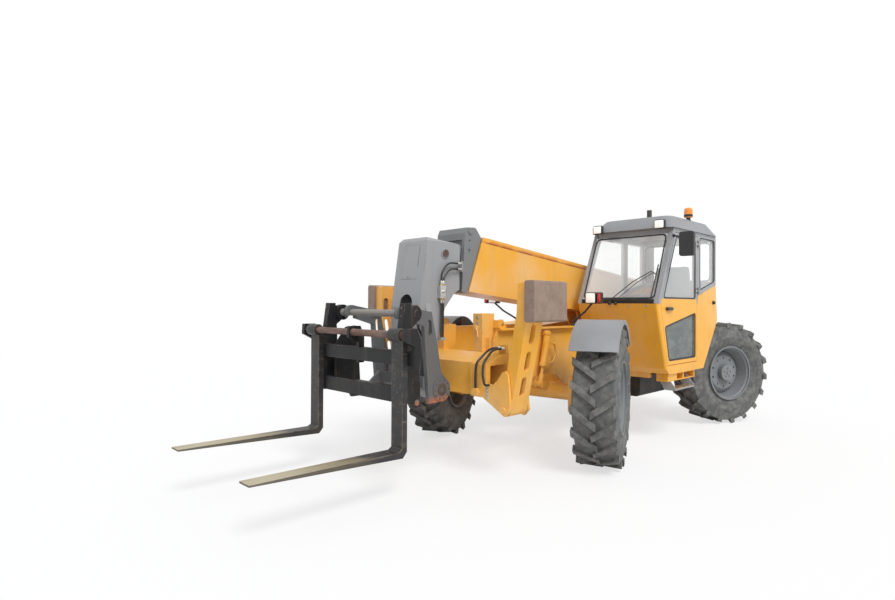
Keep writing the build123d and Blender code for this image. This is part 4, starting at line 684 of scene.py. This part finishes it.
piece("lamp_lenses", whites, materials["lamp_glass"], "chassis")
piece("red_lenses", reds, trim["red"], "chassis")

# Beacon: a dark base under the amber cap
beaconFoot = (1.000, 1.945, 2.460)
collar = [(0.0, 0), (0.0, 0.030), (0.006, 0.030), (0.010, 0.0225), (0.028, 0.0225), (0.034, 0.040), (0.040, 0.0475),
          (0.060, 0.0495), (0.066, 0.0495), (0.066, 0)]
piece("beacon_base", [turned(back(*beaconFoot), (0, 0, 1), collar, 28)], materials["black_plastic"], "chassis")
print("lamps made")


def boltRow(xs, ys, zs, out, radius, height):
    # A bolt at every crossing of the given places
    return [shell for x in xs for y in ys for z in zs for shell in hexBolt(back(x, y, z), out, radius, height)]


# Bolts of the frame: places across, back and up, the way they face, radius, height
frameBolts = [
    ((-0.583, 0.583), (-1.105,), (0.702, 0.732, 0.762, 0.792), (0, -1, 0), 0.010, 0.008),  # stabilizer brackets
    ((0.549, 0.760, 0.966), (0.9725,), (1.465,), (0, -0.958, -0.285), 0.009, 0.007),  # cab front
    ((-1.130,), (1.06,), (1.03,), (-1, 0, 0), 0.010, 0.008),  # engine hood, along its sloping top
    ((-1.130,), (1.30,), (1.10,), (-1, 0, 0), 0.010, 0.008),
    ((-1.130,), (1.62,), (1.16,), (-1, 0, 0), 0.010, 0.008),
    ((-1.130,), (1.94,), (1.21,), (-1, 0, 0), 0.010, 0.008),
    ((-1.130,), (0.93, 2.17), (0.66, 1.05), (-1, 0, 0), 0.010, 0.008),  # engine hood, its corners
    ((-0.430,), (3.54, 3.68), (0.70, 0.95), (-1, 0, 0), 0.014, 0.011),  # tail weight
    ((0.430,), (3.54, 3.68), (0.70, 0.95), (1, 0, 0), 0.014, 0.011),
    ((-0.245, 0.245), (-0.855,), (1.300, 1.355), (0, -1, 0), 0.011, 0.009),  # headboard posts
]
piece("frame_bolts", [shell for row in frameBolts for shell in boltRow(*row)], trim["plated"], "chassis")

# Carriage: a ring of bolts and a dished pin end on each side of the tilt pivot, and bolts on the hook plates
boss = {"sides": ((0.198, 1), (-0.558, -1)), "y": -1.255, "z": 0.740, "ring": 0.083, "bolts": 10}
carriageBolts = []
for x, way in boss["sides"]:
    for turn in np.linspace(0, 2 * np.pi, boss["bolts"], endpoint=False):
        spot = back(x, boss["y"] + boss["ring"] * math.cos(turn), boss["z"] + boss["ring"] * math.sin(turn))
        carriageBolts += hexBolt(spot, (way, 0, 0), 0.007, 0.006)
carriageBolts += boltRow((-0.70, 0.34), (-1.835,), (1.38, 1.44), (0, -1, 0), 0.008, 0.006)
piece("carriage_bolts", carriageBolts, trim["rusty"], "carriage")
pinEnd = [(-0.002, 0), (-0.002, 0.052), (0.004, 0.052), (0.006, 0.046), (0.006, 0.022), (-0.001, 0.018), (-0.001, 0)]
pinShells = [turned(back(x, boss["y"], boss["z"]), (way, 0, 0), pinEnd, 28) for x, way in boss["sides"]]
piece("tilt_pin_ends", pinShells, trim["rusty"], "carriage")

# Hose fittings on the neck: a nut and a ferrule at each hose end, and the valve block between the ends
hexNut = [(0, 0.0085), (0, 0.0125), (0.002, 0.014), (0.014, 0.014), (0.016, 0.0125), (0.016, 0.0085)]
ferrule = [(0.015, 0.0085), (0.015, 0.0115), (0.040, 0.0115), (0.043, 0.0095), (0.043, 0.0085)]
neckHose = {"x": 0.048, "rear": -0.868, "ends": ((-1.122, 1.850), (-1.098, 1.797)), "top": 1.640, "foot": 1.525}
valve = {"low": (0.012, -1.1435, 1.5235), "high": (0.0635, -1.0805, 1.6415), "edge": 0.005,
         "plug": (0.0635, -1.112, 1.585)}
plugShape = [(0, 0), (0, 0.013), (0.012, 0.013), (0.014, 0.010), (0.014, 0)]
fittings, brassFittings = [], []
for y, z in neckHose["ends"]:
    for place, out, nuts in ((back(neckHose["x"], neckHose["rear"], z), (0, -1, 0), fittings),
                             (back(neckHose["x"], y, neckHose["top"]), (0, 0, 1), brassFittings),
                             (back(neckHose["x"], y, neckHose["foot"]), (0, 0, -1), brassFittings)):
        nuts.append(turned(place, out, hexNut, 6))
        fittings.append(turned(place, out, ferrule, 14))
fittings += [roundBox(valve["low"], valve["high"], valve["edge"]),
             turned(back(*valve["plug"]), (1, 0, 0), plugShape, 6)]
piece("neck_fittings", fittings, trim["plated"], "boom_inner")
piece("neck_nuts", brassFittings, trim["brass"], "boom_inner")

# Hose fittings on the frame, a size larger
frameHose = {"ends": ((0.500, 1.095), (0.538, 1.090)), "y": -0.835, "larger": 1.2}
frameFittings = []
for x, z in frameHose["ends"]:
    for part, sides in ((hexNut, 6), (ferrule, 14)):
        scaled = [(along, radius * frameHose["larger"]) for along, radius in part]
        frameFittings.append(turned(back(x, frameHose["y"], z), (0, -1, 0), scaled, sides))
piece("frame_fittings", frameFittings, trim["plated"], "chassis")

# Pin ends on the neck's sides and one bolt on its sloping front plate
neck = {"half": 0.211, "pin": (-1.048, 1.936), "boltX": -0.187, "frontFoot": -1.262, "rise": 0.340,
        "lean": 90 / 590, "boltZ": 1.716}
neckPin = [(-0.002, 0), (-0.002, 0.034), (0.003, 0.034), (0.004, 0.027), (0.002, 0.025), (0.002, 0)]
neckShells = [turned(back(boomMiddle + way * neck["half"], *neck["pin"]), (way, 0, 0), neckPin, 24) for way in (-1, 1)]
neckShells += hexBolt(back(neck["boltX"], neck["frontFoot"] - neck["rise"] * neck["lean"], neck["boltZ"]),
                      (0, -1, 0.15), 0.006, 0.005)
piece("neck_pins", neckShells, trim["rusty"], "boom_inner")
print("bolts and fittings made")

# Headboard post: a round pin and its lever
post = {"pin": (0.232, -0.857, 1.262), "knee": (0.258, -0.873, 1.235), "arm": (0.262, -0.862, 1.180), "rod": 0.007}
pinHead = [(0, 0), (0, 0.026), (0.010, 0.026), (0.014, 0.020), (0.014, 0.012), (0.020, 0.012), (0.020, 0)]
lever = carried([back(*post["pin"]) - (0, 0.014, 0), back(*post["knee"]), back(*post["arm"]) - (0, 0.008, 0)],
                (0, -1, 0), disc(post["rod"], 8))
piece("post_lever", [turned(back(*post["pin"]), (0, -1, 0), pinHead, 20), lever], materials["yellow_paint"], "chassis")

# Sill box under the door: closed ahead of the step, an open frame above it
sill = {"in": 0.930, "out": 1.062, "low": 0.652, "high": 0.7385, "front": 1.275, "split": 1.500, "rear": 1.985,
        "wall": 0.012, "closedEdge": 0.006, "edge": 0.003, "posts": (1.660, 1.955), "post": 0.028, "inset": 0.004}
sillShells = [roundBox((sill["in"], sill["front"], sill["low"]), (sill["out"], sill["split"], sill["high"]),
                       sill["closedEdge"])]
for z in (sill["low"], sill["high"] - sill["wall"]):
    sillShells.append(roundBox((sill["in"], sill["split"], z), (sill["out"], sill["rear"], z + sill["wall"]),
                               sill["edge"]))
for y in sill["posts"]:
    sillShells.append(roundBox((sill["in"], y, sill["low"] + sill["inset"]),
                               (sill["out"] - 0.002, y + sill["post"], sill["high"] - sill["inset"]), sill["edge"]))
piece("sill_box", sillShells, materials["yellow_paint"], "chassis")

# Step tread: a plate with raised cleats
tread = {"plateLow": (1.003, 1.335, 0.5715), "plateHigh": (1.117, 1.805, 0.5755), "from": 1.355, "to": 1.79,
         "pitch": 0.03, "wide": 0.012, "in": 1.012, "out": 1.108, "low": 0.575, "high": 0.581}
cleats = [roundBox(tread["plateLow"], tread["plateHigh"], 0.0015)]
cleats += [roundBox((tread["in"], y, tread["low"]), (tread["out"], y + tread["wide"], tread["high"]), 0.0025)
           for y in np.arange(tread["from"], tread["to"], tread["pitch"])]
piece("step_tread", cleats, trim["plated"], "chassis")

# Seat: a crowned cushion and back with sewn channels on a plain base
seat = {"middle": 0.640, "channel": 0.006, "stitch": 0.010, "edge": 0.040, "baseLow": (0.482, 1.882, 0.781),
        "baseHigh": (0.798, 2.138, 1.202), "baseEdge": 0.012}
cushion = {"low": (0.402, 1.832, 1.200), "high": (0.878, 2.305, 1.308), "half": 0.24, "centre": 2.07, "foot": 1.22,
           "depth": 0.09, "rise": 0.016, "roll": 0.02, "seam": 0.13}
backrest = {"low": (0.408, 2.222, 1.262), "high": (0.872, 2.312, 1.952), "half": 0.235, "foot": 1.27, "tall": 0.68,
            "taper": 0.16, "front": 2.255, "face": 0.05, "lean": 0.105, "hollow": 0.012, "wing": 0.022,
            "shift": 0.004, "seam": 0.12}


def channels(points, across, axis, sign):
    # Sinks two sewn lines by a bell curve across the pad
    dip = sum(np.exp(-((points[:, 0] - seat["middle"] - side * across) / seat["stitch"]) ** 2) for side in (-1, 1))
    points[:, axis] -= sign * seat["channel"] * dip
    return points


def cushionShape(points):
    # Top raised by (1-u^2)(1-v^2), front edge rolled down
    u = np.clip((points[:, 0] - seat["middle"]) / cushion["half"], -1, 1)
    v = np.clip((points[:, 1] - axleLine - cushion["centre"]) / cushion["half"], -1, 1)
    top = np.clip((points[:, 2] - cushion["foot"]) / cushion["depth"], 0, 1)
    crown = cushion["rise"] * top * (1 - u ** 2) * (1 - v ** 2)
    points[:, 2] += crown - cushion["roll"] * top * np.clip(-v, 0, 1) ** 3
    return channels(points, cushion["seam"], 2, top)


def backShape(points):
    # The pad leans back with height, narrows at its head and is hollowed for the sitter
    rise = np.clip((points[:, 2] - backrest["foot"]) / backrest["tall"], 0, 1)
    u = (points[:, 0] - seat["middle"]) / backrest["half"]
    points[:, 0] = seat["middle"] + (points[:, 0] - seat["middle"]) * (1 - backrest["taper"] * rise ** 3)
    face = np.clip((axleLine + backrest["front"] - points[:, 1]) / backrest["face"], 0, 1)
    hollow = backrest["hollow"] * (1 - u ** 2) - backrest["wing"] * u ** 2
    points[:, 1] += backrest["lean"] * rise - face * hollow - backrest["shift"]
    return channels(points, backrest["seam"], 1, -face)


seatPads = piece("seat_pads", [roundBox(cushion["low"], cushion["high"], seat["edge"], cushionShape, 5),
                               roundBox(backrest["low"], backrest["high"], seat["edge"], backShape, 5)],
                 materials["seat_vinyl"], "chassis", 60.0)
smooth = seatPads.modifiers.new("smooth", "SUBSURF")
smooth.levels = smooth.render_levels = 1
piece("seat_base", [roundBox(seat["baseLow"], seat["baseHigh"], seat["baseEdge"])], materials["black_plastic"],
      "chassis")
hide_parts("seat")
print("seat made")

# Floor and backdrop: white to the eye, with the machine's own shadow
ground = {"reach": 60.0, "white": (0.86, 0.86, 0.86), "lift": 0.66, "near": 5.0, "far": 16.0}
corner = ground["reach"]
floorMesh = bpy.data.meshes.new("floor")
floorMesh.from_pydata([(-corner, -corner, 0), (corner, -corner, 0), (corner, corner, 0), (-corner, corner, 0)], [],
                      [(0, 1, 2, 3)])
floor = bpy.data.objects.new("floor", floorMesh)
scene.collection.objects.link(floor)


def anyRay(s, kind, *others):
    # 1 for a ray of any of the kinds named
    found = s.add("ShaderNodeLightPath", output=kind)
    for other in others:
        found = found.most(s.add("ShaderNodeLightPath", output=other))
    return found


s = Shader("pale floor")
seen = anyRay(s, "Is Camera Ray", "Is Transmission Ray")
matte = s.add("ShaderNodeBsdfDiffuse", {}, {"Color": ground["white"]})
white = s.add("ShaderNodeEmission", {}, {"Color": (1.0, 1.0, 1.0), "Strength": 1.0})
away = s.add("ShaderNodeVectorMath", {"operation": "LENGTH"}, {0: s.place}, "Value")
lift = away.step(ground["near"], ground["far"]) * (1 - ground["lift"]) + ground["lift"]
both = s.add("ShaderNodeMixShader", {}, {0: seen * lift, 1: matte, 2: white})
s.add("ShaderNodeOutputMaterial", {}, {"Surface": both}, None)
floorMesh.materials.append(s.material)

# World: even light on the machine, white in whatever the eye sees or a pane reflects
sky = {"level": 0.64, "colour": (0.97, 0.985, 1.0)}
scene.world = bpy.data.worlds.new("studio")
s = Shader("studio", scene.world)
shown = anyRay(s, "Is Camera Ray", "Is Transmission Ray", "Is Glossy Ray")
shine = s.add("ShaderNodeBackground", {}, {"Color": s.mix(shown, sky["colour"], (1.0, 1.0, 1.0)),
                                          "Strength": shown * (1 - sky["level"]) + sky["level"]})
s.add("ShaderNodeOutputWorld", {}, {"Surface": shine}, None)

# Sun: broad and soft, from the machine's front left
sun = {"strength": 2.2, "spread": 26.0, "elevation": 50.0, "azimuth": 70.0}
lamp = bpy.data.lights.new("sun", "SUN")
lamp.energy = sun["strength"]
lamp.angle = math.radians(sun["spread"])
lampObject = bpy.data.objects.new("sun", lamp)
scene.collection.objects.link(lampObject)
turn, rise = math.radians(sun["azimuth"]), math.radians(sun["elevation"])
beam = Vector((math.sin(turn) * math.cos(rise), -math.cos(turn) * math.cos(rise), math.sin(rise)))
lampObject.rotation_euler = beam.to_track_quat("Z", "Y").to_euler()

# Camera, as solved from the photograph
eye = {"place": (3.684, -4.992, 1.474), "yaw": 45.108, "pitch": 0.415, "roll": 0.293, "lens": 22.79, "sensor": 36.0}
yaw, pitch, roll = (math.radians(eye[key]) for key in ("yaw", "pitch", "roll"))
look = Vector((-math.sin(yaw) * math.cos(pitch), math.cos(yaw) * math.cos(pitch), math.sin(pitch)))
right = Vector((math.cos(yaw), math.sin(yaw), 0))
up = right.cross(look)
rightTurned = right * math.cos(roll) + up * math.sin(roll)
upTurned = up * math.cos(roll) - right * math.sin(roll)
cameraData = bpy.data.cameras.new("camera")
cameraData.lens, cameraData.sensor_width = eye["lens"], eye["sensor"]
cameraData.clip_start, cameraData.clip_end = 0.1, 200.0
camera = bpy.data.objects.new("camera", cameraData)
scene.collection.objects.link(camera)
matrix = np.eye(4)
matrix[:3, 0], matrix[:3, 1], matrix[:3, 2], matrix[:3, 3] = rightTurned, upTurned, -look, eye["place"]
camera.matrix_world = Matrix(matrix.tolist())
scene.camera = camera
scene.view_settings.view_transform = "Standard"
